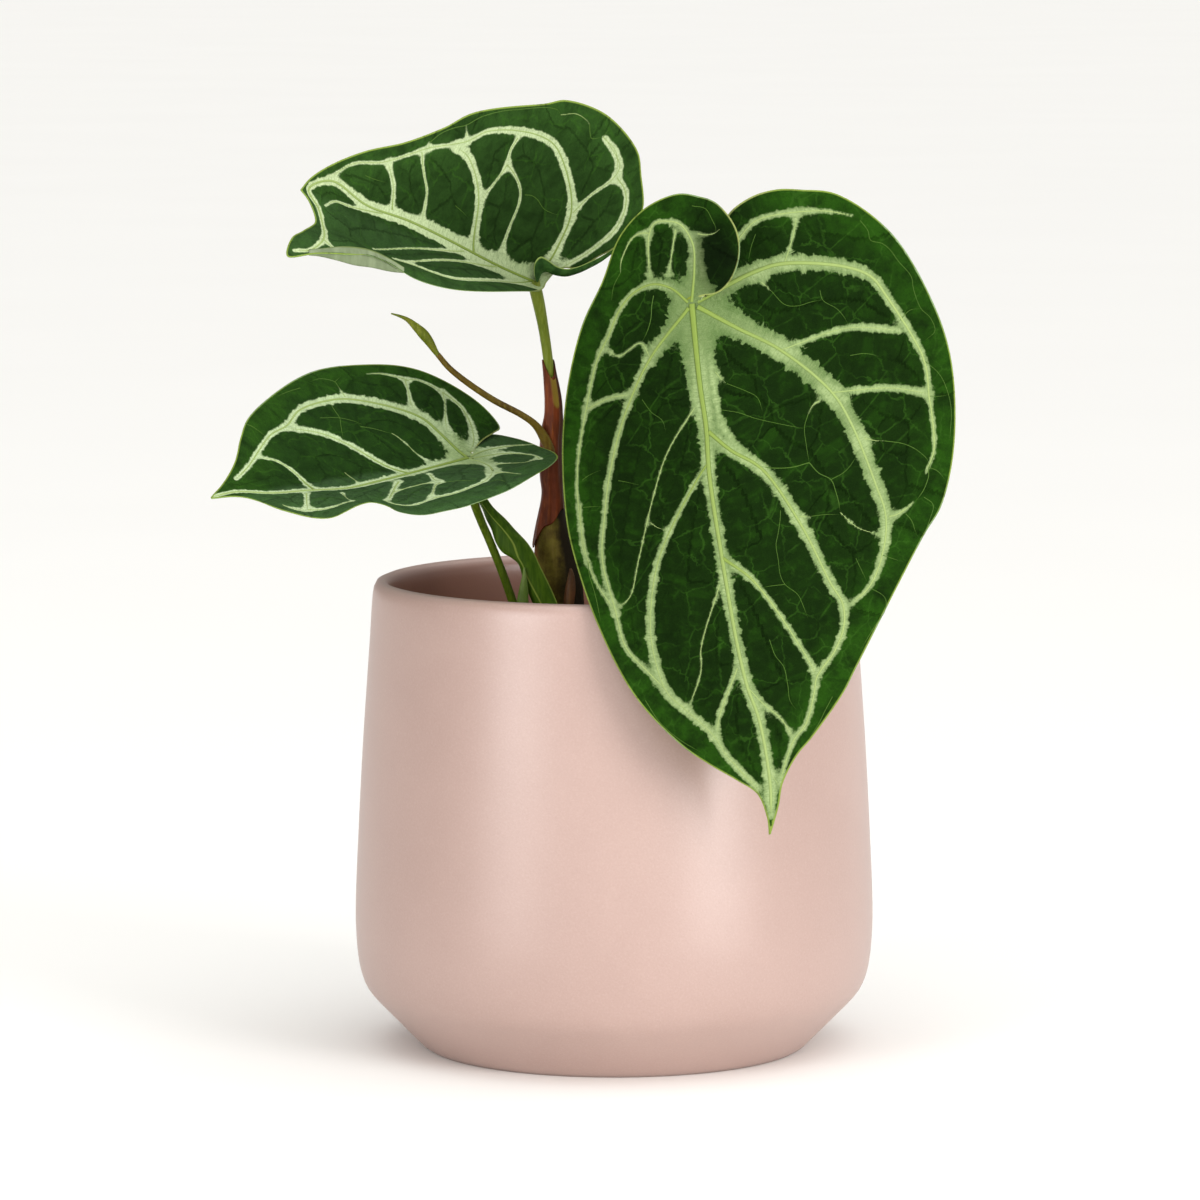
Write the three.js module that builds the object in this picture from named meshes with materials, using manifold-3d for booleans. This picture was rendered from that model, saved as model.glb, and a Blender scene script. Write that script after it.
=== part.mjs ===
// Anthurium crystallinum in a rounded pot. Millimetres, +Z up.
// Origin: centre of the pot's foot, on the surface that it stands on. Front is -Y.
import * as THREE from 'three';
import Module from 'manifold-3d';

const wasm = await Module();
wasm.setup();

// ---- driving dimensions, mm --------------------------------------------------------------
const FIT_GAP = 0.35; // clearance where one piece stands in or against another
const POT_SIDES = 48;
const POT_FLOOR = 7;
const POT_OUTSIDE = [ // radius, height: foot, 45 degree chamfer, belly, gentle taper, rolled rim
  [55.3, 0], [55.8, 0.5], [69.4, 14.4], [71.7, 17.2], [73.4, 21.4], [74.6, 28], [75, 37],
  [74.8, 47], [73.9, 66], [72.6, 89], [71.1, 112], [69.9, 130], [69.3, 133.6], [67.6, 135.9],
];
const POT_INSIDE = [ // rim inside, wall, rounded corner, floor
  [66.2, 135.9], [64.9, 134.2], [64.7, 131], [66.1, 112], [67.6, 89], [69.4, 55], [69.6, 36],
  [68.2, 24], [64, 16], [54, POT_FLOOR],
];
const MIX_LEVEL = 113; // mean height of the potting mix
const MIX_CHUNKS = 22;
const BLADE_THICKNESS = 0.85;
const RIB_HEIGHT = 0.9; // how far the main ribs stand out below the blade
const RIB_GROOVE = 0.3; // how far the veins sink into the upper face
const QUILT_HEIGHT = 0.7; // how far the cells between the veins swell
const ROOT_SOFTNESS = 6; // width over which the two halves of a blade meet at the midrib
const LOBE_REACH = 10; // distance from the petiole over which a lobe parts from its twin
const LOBE_SPREAD = 35; // how far round from the sinus that goes on, degrees

// Ranks of vein: midrib, main lateral, cross vein, fine vein. Half width of the pale band of each,
// and how strongly it stands out.
const VEIN_WIDTH = { M: 1.9, A: 1.5, B: 1.0, C: 0.5 };
const VEIN_RANK = { M: 1, A: 1, B: 0.7, C: 0.4 };

// Density of a blade's facets, as shares of the blade's 'spacing'.
const MARGIN_STEP = 0.85; // along the margin
const FINE_VEIN_STEP = 1.3; // along a fine vein; other veins use the spacing itself
const VEIN_ROOM = 0.38; // least distance of a vein point to its neighbours
const SHOULDER_ROOM = 0.34; // the same beside a vein
const SHOULDER = 1.25; // how far out a shoulder lies, as a share of the vein's half width
const CELL_ROOM = 0.72; // the same inside the cells
const CELL_PITCH = 1.25; // width of the honeycomb of points inside the cells
const CELL_ROW = 0.87; // height of its rows, as a share of that width
const NORMAL_STEP = 0.3; // mm, over which the tilt of the sheet is read

// ---- the three blades --------------------------------------------------------------------
// Every blade is drawn flat: x across it, y along the midrib, from the petiole at (0, 0) to the
// tip. 'plus' is the half on the +x side and 'minus' the other, each from the sinus to the tip.
// 'at' is where the petiole joins, 'tip' the way the midrib points, 'face' the way the upper
// face looks. The rest bends the sheet: at each of the 'stations' along y, 'spine' lifts the
// midrib, 'slope' tilts each half and 'bow' curves it, [plus, minus]. 'swells' are local
// [half, x, y, width, length, height]. 'part' lifts the two lobes beside the sinus. 'sinus' is the
// bearing of the gap between the lobes and 'lap' how far each lobe reaches past it, in degrees.
// A vein is [rank, half, path]; the half only counts beside the sinus.
const FRONT = {
  at: [21.2, -77, 219.9], tip: [14.3, -11, -98.2], face: [0, -100, 12],
  stations: [-35, 0, 40, 80, 115, 150],
  spine: [0, 0, 1, 1, 0, -2],
  slope: [[-0.45, -0.45, -0.45, -0.28, -0.15, -0.05], [-0.05, -0.1, -0.12, -0.1, -0.08, -0.05]],
  bow: [[-0.4, -0.8, -0.8, -0.4, -0.3, 0], [-0.1, -0.15, -0.25, -0.3, -0.2, 0]],
  swells: [[1, -13, -12, 8, 10, 4]],
  sinus: -150, lap: [19, 31], part: [4, -2],
  plus: [[-2.3, -2.3], [-8, -2.5], [-12.5, -6.5], [-15, -13], [-14.5, -20], [-10.5, -27],
    [-6, -29.5], [-0.5, -31], [9, -28.5], [17, -22], [23.5, -10.5], [30.5, 0], [36.5, 14.5],
    [40.5, 30], [42.5, 46.5], [42.5, 59.5], [38.5, 82.5], [31, 104], [20.5, 119], [13.5, 125.5],
    [6.5, 131], [1.5, 135.5], [-0.2, 142], [0, 148.5]],
  minus: [[-2.3, -2.3], [-6.5, -7], [-9, -13], [-13, -23], [-20, -27.3], [-27.5, -28.5],
    [-34.5, -27.5], [-44, -25], [-57.5, -12.5], [-66.5, 8], [-69.5, 25], [-67, 48], [-61, 64],
    [-54.5, 72], [-31, 104.5], [-26, 111.5], [-15.5, 122.5], [-11, 126.5], [-6, 133.5],
    [-4, 139.5], [0, 148.5]],
  veins: [
    ['M', 1, [[0, -0.5], [1, 21.5], [1, 34], [2, 46.5], [1.8, 70.5], [1, 95], [0, 105.5],
      [-2, 115.5], [-2.5, 133], [-1.5, 142]]],
    ['A', -1, [[-1.5, -1], [-19, -7], [-27, -8], [-44.5, -4.5], [-50.5, -1], [-54, 5], [-59.5, 16.5],
      [-62, 24], [-62, 32.5], [-61, 49], [-58, 54.5]]],
    ['B', -1, [[-27, -8], [-30.5, -15.5], [-32.5, -21.5]]],
    ['B', -1, [[-12, -12.5], [-16, -17], [-21, -20.8], [-39, -21], [-47.5, -18.5]]],
    ['A', -1, [[-1.5, 0.5], [-11, 7.5], [-22.5, 15.5], [-35, 29], [-39, 38], [-43.5, 56],
      [-45, 64.5], [-43, 74], [-38, 83], [-32, 87.5]]],
    ['B', -1, [[-22.5, 15.5], [-42, 12], [-56, 14.5]]],
    ['B', -1, [[-35, 29], [-51.5, 30], [-62, 33]]],
    ['A', -1, [[0.5, 35], [-5, 41], [-12.5, 47], [-21, 63.5], [-27, 81], [-29.5, 87], [-29, 93],
      [-25.5, 99.5], [-19.5, 106], [-18, 110.5], [-14.5, 118.5], [-10.5, 122.5], [-5, 133.5]]],
    ['A', -1, [[1.5, 70], [-6, 77.5], [-18, 101.5], [-19.5, 106]]],
    ['C', -1, [[0, 106], [-4, 111.5], [-8, 116], [-10.5, 121.5]]],
    ['A', 1, [[0, -1], [-2, -10], [-2.5, -17], [0, -22.5], [3.5, -24], [7, -24], [9, -21],
      [10.5, -9.5]]],
    ['A', 1, [[1, -1], [5, -5.5], [10, -7.5], [15.5, -6], [20, -2], [24, 4.5], [28, 10.5],
      [33, 23.5], [37.5, 38.5], [39, 50], [38, 68.5], [33, 80.5]]],
    ['A', 1, [[1, 0.5], [13.5, 12.5], [22.5, 26.5], [29, 42], [32.5, 55], [34.5, 65.5], [33, 79.5],
      [31.5, 90.5], [26.5, 98], [22, 104]]],
    ['B', 1, [[13.5, 12.5], [15.5, 8], [22, 10.5], [25, 8]]],
    ['B', 1, [[33, 23.5], [26, 21.5], [19.5, 21.5]]],
    ['C', 1, [[3.5, 28], [12.5, 39], [18.5, 51.5], [24.5, 67], [28.5, 77], [32.5, 79.5]]],
    ['A', 1, [[1.5, 43], [5.5, 47.5], [19, 67.5], [24, 85.5], [24, 95.5], [22, 104.5], [17.5, 110],
      [11, 118], [8.5, 123.5], [1, 134]]],
    ['C', 1, [[3.5, 77], [11, 93.5], [12, 100], [16.5, 109]]],
    ['B', 1, [[2, 100.5], [9, 113.5], [10, 118]]],
  ],
  spacing: 5.4,
};
const TOP = {
  at: [-23, -4, 221.9], tip: [-78, -50, 36], face: [62, -63, 46.5],
  stations: [-30, -10, 10, 30, 50, 70, 90],
  spine: [6, 2, 0, 0, 0, 0, 0],
  slope: [[0.84, 0.84, 0.84, 0.84, 0.8, 0.7, 0.6], [1.6, 1.5, 1.35, 0.95, 0.62, 0.55, 0.1]],
  bow: [[0, 0, 0, 0, 0, 0, 0], [0, 0, 0, 0, 0, 0, 0]],
  swells: [[-1, -12, 60, 6, 15, -3.5], [1, 6, -9, 4, 6, 3]],
  sinus: -88, lap: [0, 0], part: [1, 1],
  plus: [[0.3, -3.5], [4, -6], [5, -10.5], [10.5, -17], [13.5, -20.5], [19, -23], [23.5, -24],
    [31, -19.5], [36, -15.5], [41.5, -2.5], [41.5, 11.5], [39, 17.5], [31, 38], [25.5, 45],
    [19.5, 54.5], [14.5, 65], [8.8, 73.5], [3.5, 79], [-2, 82.5]],
  minus: [[0.3, -3.5], [-1.5, -2.8], [-4, -0.5], [-8, 4], [-14, 11], [-19, 18.5], [-23, 26.5],
    [-26, 35], [-27, 42.5], [-25.5, 52], [-22, 58.5], [-22, 64.5], [-24.5, 73], [-26, 81.5], [-28, 88.5],
    [-21, 87], [-17.5, 83.5], [-11.5, 78.5], [-4.5, 80], [-2, 82.5]],
  veins: [
    ['M', 1, [[-0.5, 0.5], [2.5, 43.5], [2, 59.5], [4.5, 72.5], [-0.5, 79.5], [-6, 76.5],
      [-12, 76], [-19, 78], [-24.5, 82.5], [-25.5, 86.5]]],
    ['A', 1, [[1, 0], [7, -3], [18.5, -4], [30.5, 7.5], [32, 15], [28.5, 31], [24.5, 36.5],
      [20, 47], [13.5, 58.5], [10.5, 67.5], [5.5, 73]]],
    ['A', 1, [[1.5, 21.5], [14.5, 26], [21.5, 34], [22.5, 39]]],
    ['A', 1, [[3.5, 51], [9, 53], [13.5, 57]]],
    ['C', 1, [[2.5, 40.5], [11.5, 43.5], [18, 47.5]]],
    ['C', 1, [[1.5, 12.5], [18.5, 13.5], [23.5, 21], [30, 21]]],
    ['C', 1, [[15, 25.5], [19, 23.5], [23.5, 21]]],
    ['B', 1, [[18.5, -4.5], [23.5, -7.5], [28.5, -12], [31.5, -12.5], [36.5, -5]]],
    ['B', 1, [[29, -13], [26.5, -17], [22.5, -19], [17.5, -18.5], [12, -14.5], [5, -7], [1, -1]]],
    ['B', -1, [[1.5, 54], [-0.5, 65], [-1, 70.5], [-4, 74]]],
    ['B', -1, [[0.5, 25], [-5, 39], [-12.5, 58]]],
    ['B', -1, [[0, 13], [-4, 25.5], [-14.5, 48]]],
    ['A', -1, [[-0.5, 1], [-19, 36.5], [-18, 43], [-15.5, 48.5], [-15, 52.5]]],
    ['B', -1, [[-19, 78], [-22.5, 76], [-23.5, 73.5]]],
  ],
  spacing: 4.8,
};
const LEFT = {
  at: [-41.7, -20, 172.8], tip: [-81, -59, -7], face: [5, -42, 90],
  stations: [-30, 0, 15, 35, 50, 58, 68, 90],
  spine: [0, 0, 0, 0, 0, 0, 0, -1],
  slope: [[0.4, 0.45, 0.45, 0.45, 0.45, 0.45, 0.42, 0.4],
    [0.5, 0.42, 0.28, 0.15, 0.21, 0.2, 0.05, 0]],
  bow: [[-0.2, -0.2, -0.2, -0.2, -0.2, -0.2, -0.2, 0], [0, 0, 0, 0, 0, 0, 0, 0]],
  swells: [],
  sinus: -54, lap: [8, 6], part: [-0.5, 1],
  plus: [[2.2, -2.6], [7.5, -8.5], [9.5, -14], [10.5, -17.6], [20, -16.5], [32, -7.5], [37, 1.5],
    [40, 23.5], [37.5, 36.5], [26, 59.5], [20, 65.5], [12, 72], [5.5, 79.5], [0.5, 87]],
  minus: [[2.2, -2.6], [7, -8], [11, -12], [12, -16.5], [8, -20.5], [1, -24], [-4, -25.5],
    [-14.5, -20.5], [-31, -4], [-36, 8], [-36, 25], [-34.5, 33], [-34.5, 43], [-32, 46],
    [-25, 46], [-22, 48.5], [-25.5, 59.5], [-25, 63.5], [-14, 71.5], [-2.5, 78], [0.5, 87]],
  veins: [
    ['M', 1, [[0, 0], [-4, 23], [-6, 36], [-7.5, 47.5], [-5, 58], [-3, 68.5], [1, 77.5], [1, 86]]],
    ['A', 1, [[0.5, 0], [10.5, 2.5], [18, 6], [27.5, 24], [28, 33.5], [26, 42.5], [21.5, 49],
      [19, 56], [9.5, 69], [6, 75]]],
    ['A', 1, [[-4, 23], [11.5, 33.5], [17, 40], [20.5, 49]]],
    ['A', 1, [[-5, 56], [4, 56], [9.5, 59], [12, 63.5]]],
    ['B', 1, [[1, 0], [5.5, -6.5], [10.5, -10.5], [19.5, -11.5], [28.5, -3.5], [35.5, 12.5]]],
    ['C', 1, [[31.5, 1.5], [22.5, 5], [19, 5.5]]],
    ['C', 1, [[24, -6.5], [15, -2], [10, 1]]],
    ['B', -1, [[0, -1], [1.5, -9], [0.5, -20]]],
    ['B', -1, [[0, -1], [-4, -17], [-14.5, -15], [-24, -5]]],
    ['A', -1, [[-0.5, -1], [-9.5, 0], [-19.5, 4.5], [-25.5, 14.5], [-27, 23], [-25.5, 29],
      [-26, 36], [-21.5, 41]]],
    ['B', -1, [[-3.5, 17], [-9.5, 18], [-16, 21], [-24.5, 28.5]]],
    ['B', -1, [[-9.5, 18], [-8, 26], [-11, 32.5], [-21, 40.5]]],
    ['B', -1, [[-5, 58], [-15.5, 63], [-20, 56.5], [-15.5, 46], [-21, 40.5]]],
  ],
  spacing: 4.8,
};

// ---- stems and sheaths -------------------------------------------------------------------
// Each is a round or oval bar along a curve: [x, y, z, half width, half depth] at each station.
const STEM = [[-14.5, 3, 100, 6.6, 6.6], [-14.7, 3, 113, 7.2, 7], [-15.2, 2.8, 129, 6.4, 6.2],
  [-16.3, 2.4, 140, 5, 4.8], [-17.2, 1.6, 149, 3.9, 3.8], [-17.7, 1, 156, 3.1, 3.1]];
const SHEATH_UPPER = [[-17.8, 0.9, 156.6, 3.1, 3.1], [-17.9, 0.6, 164, 2.9, 2.9],
  [-17.8, 0.2, 173, 2.9, 3], [-17.6, -0.1, 181, 2.6, 2.7], [-18.2, -0.4, 189, 2.2, 2.3],
  [-18.8, -0.6, 197, 2, 2.05]];
const PETIOLE_TOP = [[-18.1, -0.4, 187, 1.3, 1.3], [-18.8, -0.6, 197, 1.4, 1.4],
  [-20.3, -1.6, 208, 1.5, 1.5], [-22, -3.2, 217, 1.8, 1.8], [-23.2, -4.4, 225, 1.8, 1.8]];
const PETIOLE_LEFT = [[-24.5, -5.5, 98, 1.6, 1.6], [-26.6, -6.4, 114, 1.6, 1.6],
  [-29.6, -7.5, 129, 1.4, 1.4], [-34.2, -9, 139.8, 1.3, 1.3], [-37.8, -10.8, 150, 1.25, 1.25],
  [-40.1, -14, 159, 1.3, 1.3], [-41.3, -17.6, 167.5, 1.5, 1.5], [-41.7, -20.2, 175, 1.6, 1.6]];
const PETIOLE_FRONT = [[-4.6, 2, 98, 2.1, 2.1], [-4, 2, 120, 2, 2], [-2.5, 0, 145, 1.9, 1.9],
  [2, -7, 175, 1.8, 1.8], [8, -22, 202, 1.7, 1.7], [14.5, -43, 219, 1.7, 1.7],
  [19, -60, 223.5, 1.8, 1.8], [21, -70, 222.3, 2, 2], [21.6, -79, 220, 2, 2]];
const STRAP_SHEATH = [[-15.8, -10.8, 98, 2.2, 1.6], [-17.8, -10.6, 113, 2.8, 1.8],
  [-19.6, -10.2, 128, 3, 1.9], [-24.2, -10, 138, 2.7, 1.7], [-29.4, -9.4, 146, 2.5, 1.5],
  [-34, -8.4, 152.5, 2, 1.3], [-37.2, -7.6, 158.4, 1.2, 0.9]];
const SLIVER_SHEATH = [[-22.8, -12.3, 100, 1.6, 1.1], [-24.2, -12.2, 114, 2, 1.3],
  [-25.2, -12, 128, 1.9, 1.1], [-26, -11.8, 138.2, 0.4, 0.4]];
const BASE_BRACT = [[-12.4, -6.4, 102, 1.6, 1.1], [-13, -6, 118, 1.9, 1.3],
  [-13.6, -5.6, 129, 1.5, 1], [-14.6, -4.8, 136, 0.4, 0.4]];
const YOUNG_STALK = [[-17.2, -1.6, 171, 0.9, 0.9], [-19, -3.2, 173.6, 0.95, 0.95],
  [-21.1, -4, 176.6, 1, 1], [-23.2, -4.4, 180, 1, 1], [-27.4, -4.8, 183.6, 0.95, 0.95],
  [-38.9, -5.6, 192.4, 0.95, 0.95], [-49.5, -6.4, 199.9, 0.95, 0.95]];
const YOUNG_LEAF = [[-49.9, -6.4, 200.2, 1, 1], [-51.6, -6.6, 202, 1.35, 1.2],
  [-53.6, -6.7, 204.8, 1.6, 1.3], [-57, -6.9, 208, 1.25, 1], [-60.8, -7.1, 210.6, 0.75, 0.65],
  [-64.6, -7.2, 211.8, 0.35, 0.35]];

// ---- materials ---------------------------------------------------------------------------
const COLOURS = {
  glaze: ['#cdaea2', 0.55], mix: ['#4a3526', 0.95], blade: ['#1d4a22', 0.6],
  petiole: ['#78822a', 0.5], stem: ['#6d6a35', 0.7], sheath: ['#8a4a2c', 0.65],
  green: ['#4d7a2c', 0.5], bract: ['#a9745f', 0.7],
};

// ---- small helpers -----------------------------------------------------------------------
const clamp = (v, low, high) => Math.min(high, Math.max(low, v));
const ramp = (t) => clamp(t, 0, 1) ** 2 * (3 - 2 * clamp(t, 0, 1));
const DEGREE = Math.PI / 180;

// Smooth curve through values given at stations, straight on beyond both ends.
function through(stations, values, x) {
  const last = stations.length - 1;
  const rate = (i) => {
    const a = Math.max(0, i - 1);
    const b = Math.min(last, i + 1);
    return (values[b] - values[a]) / (stations[b] - stations[a]);
  };
  if (x <= stations[0]) return values[0] + (x - stations[0]) * rate(0);
  if (x >= stations[last]) return values[last] + (x - stations[last]) * rate(last);
  let i = 0;
  while (x > stations[i + 1]) i += 1;
  const span = stations[i + 1] - stations[i];
  const t = (x - stations[i]) / span;
  return (2 * t ** 3 - 3 * t ** 2 + 1) * values[i] + (t ** 3 - 2 * t ** 2 + t) * span * rate(i)
    + (3 * t ** 2 - 2 * t ** 3) * values[i + 1] + (t ** 3 - t ** 2) * span * rate(i + 1);
}

// Evenly spaced points along a smooth curve through flat points.
function trace(points, step) {
  const curve = new THREE.CatmullRomCurve3(
    points.map(([x, y]) => new THREE.Vector3(x, y, 0)), false, 'centripetal');
  const count = Math.max(2, Math.round(curve.getLength() / step));
  return curve.getSpacedPoints(count).map((p) => [p.x, p.y]);
}

function solid(geometry) {
  const position = geometry.attributes.position;
  const mesh = new wasm.Mesh({
    numProp: 3,
    vertProperties: new Float32Array(position.array),
    triVerts: new Uint32Array(geometry.index.array),
  });
  mesh.merge();
  return new wasm.Manifold(mesh);
}

function geometryOf(body) {
  const mesh = body.getMesh();
  const geometry = new THREE.BufferGeometry();
  geometry.setAttribute('position', new THREE.BufferAttribute(mesh.vertProperties.slice(), 3));
  geometry.setIndex(new THREE.BufferAttribute(mesh.triVerts.slice(), 1));
  return geometry;
}

function indexed(vertices, faces) {
  const geometry = new THREE.BufferGeometry();
  geometry.setAttribute('position', new THREE.Float32BufferAttribute(vertices.flat(), 3));
  geometry.setIndex(faces.flat());
  return geometry;
}

// Bar with an oval section along a smooth curve, closed at both ends. 'grow' thickens it all over.
function bar(stations, { sides = 10, step = 5, grow = 0 } = {}) {
  const path = new THREE.CatmullRomCurve3(stations.map((s) => new THREE.Vector3(...s)));
  const rings = Math.max(stations.length, Math.round(path.getLength() / step));
  const across = new THREE.Vector3(1, 0, 0);
  const vertices = [];
  const faces = [];
  for (let i = 0; i <= rings; i += 1) {
    const u = i / rings;
    const place = path.getPoint(u);
    const along = path.getTangent(u);
    const knots = stations.map((_, k) => k / (stations.length - 1));
    const wide = through(knots, stations.map((s) => s[3]), u) + grow;
    const deep = through(knots, stations.map((s) => s[4]), u) + grow;
    const side = across.clone().addScaledVector(along, -across.dot(along)).normalize();
    const back = along.clone().cross(side);
    place.addScaledVector(along, i === 0 ? -grow : 0).addScaledVector(along, i === rings ? grow : 0);
    for (let k = 0; k < sides; k += 1) {
      const turn = (2 * Math.PI * k) / sides;
      const p = place.clone().addScaledVector(side, wide * Math.cos(turn));
      vertices.push(p.addScaledVector(back, deep * Math.sin(turn)).toArray());
      if (i === rings) continue;
      const a = i * sides + k;
      const b = i * sides + ((k + 1) % sides);
      faces.push([a, b, b + sides], [a, b + sides, a + sides]);
    }
  }
  for (let k = 1; k < sides - 1; k += 1) {
    const top = rings * sides;
    faces.push([0, k + 1, k], [top, top + k, top + k + 1]);
  }
  return indexed(vertices, faces);
}

// ---- blades ------------------------------------------------------------------------------
// Direction of a flat point seen from the petiole, in degrees. It runs from 90 at the tip
// through the plus half down to the sinus, and from -270 up to the sinus on the minus half.
function bearing(x, y, half) {
  const angle = Math.atan2(y, x) / DEGREE;
  return half < 0 && angle > 80 ? angle - 360 : angle;
}

// Where the lobes lap over each other the flat drawing covers more than a full turn. 'squeeze'
// is how much a half is narrowed to fit, growing from none at the petiole.
function squeeze(leaf, half, radius) {
  const lap = leaf.lap[half > 0 ? 0 : 1];
  const free = half > 0 ? 90 - leaf.sinus : leaf.sinus + 270;
  return 1 + ((lap + 4) / (free - 4)) * (lap > 0 ? ramp((radius - 2) / 6) : 0);
}

// The same point in a sheet where the lobes don't lap: its bearing is squeezed, not its radius.
function unlap(leaf, x, y, half) {
  const radius = Math.hypot(x, y);
  const tip = half > 0 ? 90 : -270;
  const angle = tip + (bearing(x, y, half) - tip) / squeeze(leaf, half, radius);
  return [radius * Math.cos(angle * DEGREE), radius * Math.sin(angle * DEGREE), angle];
}

function lap(leaf, u, v, half) {
  const radius = Math.hypot(u, v);
  const tip = half > 0 ? 90 : -270;
  const angle = tip + (bearing(u, v, half) - tip) * squeeze(leaf, half, radius);
  return [radius * Math.cos(angle * DEGREE), radius * Math.sin(angle * DEGREE)];
}

// Height of the bent sheet above the blade's own plane.
function sheet(leaf, x, y, half) {
  const k = half > 0 ? 0 : 1;
  const out = x * half;
  const soft = Math.hypot(out, ROOT_SOFTNESS) - ROOT_SOFTNESS;
  const angle = unlap(leaf, x, y, half)[2];
  const near = Math.exp(-(((angle - leaf.sinus) / LOBE_SPREAD) ** 2));
  let height = through(leaf.stations, leaf.spine, y);
  height += through(leaf.stations, leaf.slope[k], y) * (out > 0 ? soft : -0.5 * soft);
  height += through(leaf.stations, leaf.bow[k], y) * (out * out) / 100;
  height += leaf.part[k] * near * (1 - Math.exp(-Math.hypot(x, y) / LOBE_REACH));
  leaf.swells.forEach(([side, cx, cy, w, l, h]) => {
    if (side === half) height += h * Math.exp(-(((x - cx) / w) ** 2) - ((y - cy) / l) ** 2);
  });
  return height;
}

// Delaunay triangles of flat points, by adding them one at a time.
function delaunay(points) {
  const far = 1e4;
  const all = points.concat([[-far, -far], [far, -far], [0, far]]);
  const count = points.length;
  const circle = (tri) => {
    const [[ax, ay], [bx, by], [cx, cy]] = tri.map((i) => all[i]);
    const d = 2 * (ax * (by - cy) + bx * (cy - ay) + cx * (ay - by));
    const [a2, b2, c2] = [ax * ax + ay * ay, bx * bx + by * by, cx * cx + cy * cy];
    const x = (a2 * (by - cy) + b2 * (cy - ay) + c2 * (ay - by)) / d;
    const y = (a2 * (cx - bx) + b2 * (ax - cx) + c2 * (bx - ax)) / d;
    return { tri, x, y, r2: (ax - x) ** 2 + (ay - y) ** 2 };
  };
  let open = [circle([count, count + 1, count + 2])];
  const order = points.map((_, i) => i).sort((a, b) => points[a][0] - points[b][0]);
  const done = [];
  order.forEach((i) => {
    const [x, y] = points[i];
    const edges = new Map();
    const keep = [];
    open.forEach((c) => {
      if (c.x + Math.sqrt(c.r2) < x) {
        done.push(c);
      } else if ((x - c.x) ** 2 + (y - c.y) ** 2 < c.r2) {
        [[0, 1], [1, 2], [2, 0]].forEach(([p, q]) => {
          const [a, b] = [c.tri[p], c.tri[q]];
          const twin = `${b},${a}`;
          if (edges.has(twin)) edges.delete(twin);
          else edges.set(`${a},${b}`, [a, b]);
        });
      } else {
        keep.push(c);
      }
    });
    open = keep;
    edges.forEach(([a, b]) => open.push(circle([a, b, i])));
  });
  return done.concat(open).map((c) => c.tri).filter((tri) => tri.every((i) => i < count));
}

function inside([x, y], ring) {
  let odd = false;
  ring.forEach(([ax, ay], i) => {
    const [bx, by] = ring[(i + 1) % ring.length];
    if ((ay > y) !== (by > y) && x < ax + ((bx - ax) * (y - ay)) / (by - ay)) odd = !odd;
  });
  return odd;
}

// Points of the blade's net: the margin, the veins with a shoulder each side, the cells between.
function net(leaf) {
  const rim = [];
  const take = (half, outline) => outline.forEach(([x, y]) => {
    const [u, v] = unlap(leaf, x, y, half);
    rim.push({ u, v, half, vein: 0 });
  });
  take(1, trace(leaf.plus, leaf.spacing * MARGIN_STEP));
  take(-1, trace(leaf.minus, leaf.spacing * MARGIN_STEP).reverse().slice(1, -1));
  const ring = rim.map((p) => [p.u, p.v]);
  const points = [...rim];
  const clear = (u, v, room) => points.every((p) => Math.hypot(p.u - u, p.v - v) > room);
  const add = (x, y, side, room, vein) => {
    const half = y > 0 ? (x >= 0 ? 1 : -1) : side;
    const [u, v] = unlap(leaf, x, y, half);
    if (inside([u, v], ring) && clear(u, v, room)) points.push({ u, v, half, vein });
  };
  points.push({ u: 0, v: 0.01, half: 1, vein: 1 });
  const lines = leaf.veins.map(([kind, side, path]) => ({
    kind, side, path: trace(path, leaf.spacing * (kind === 'C' ? FINE_VEIN_STEP : 1)),
  }));
  lines.forEach(({ kind, side, path }) => {
    path.forEach(([x, y]) => add(x, y, side, leaf.spacing * VEIN_ROOM, VEIN_RANK[kind]));
  });
  lines.filter(({ kind }) => kind === 'M' || kind === 'A').forEach(({ kind, side, path }) => {
    for (let i = 1; i < path.length - 1; i += 1) {
      const [dx, dy] = [path[i + 1][0] - path[i - 1][0], path[i + 1][1] - path[i - 1][1]];
      const scale = (VEIN_WIDTH[kind] * SHOULDER) / Math.hypot(dx, dy);
      [1, -1].forEach((s) => {
        const [x, y] = [path[i][0] - s * dy * scale, path[i][1] + s * dx * scale];
        add(x, y, side, leaf.spacing * SHOULDER_ROOM, 0);
      });
    }
  });
  const pitch = leaf.spacing * CELL_PITCH;
  for (let row = -12; row < 32; row += 1) {
    for (let column = -16; column < 16; column += 1) {
      const [u, v] = [(column + (row % 2 ? 0.5 : 0)) * pitch, row * pitch * CELL_ROW];
      const half = v > 0 ? (u >= 0 ? 1 : -1) : 0;
      const angle = Math.atan2(v, u) / DEGREE;
      const lobe = half || (angle > leaf.sinus ? 1 : -1);
      if (inside([u, v], ring) && clear(u, v, leaf.spacing * CELL_ROOM)) {
        points.push({ u, v, half: lobe, vein: 0, cell: 1 });
      }
    }
  }
  return { points, rim: rim.length };
}

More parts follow.
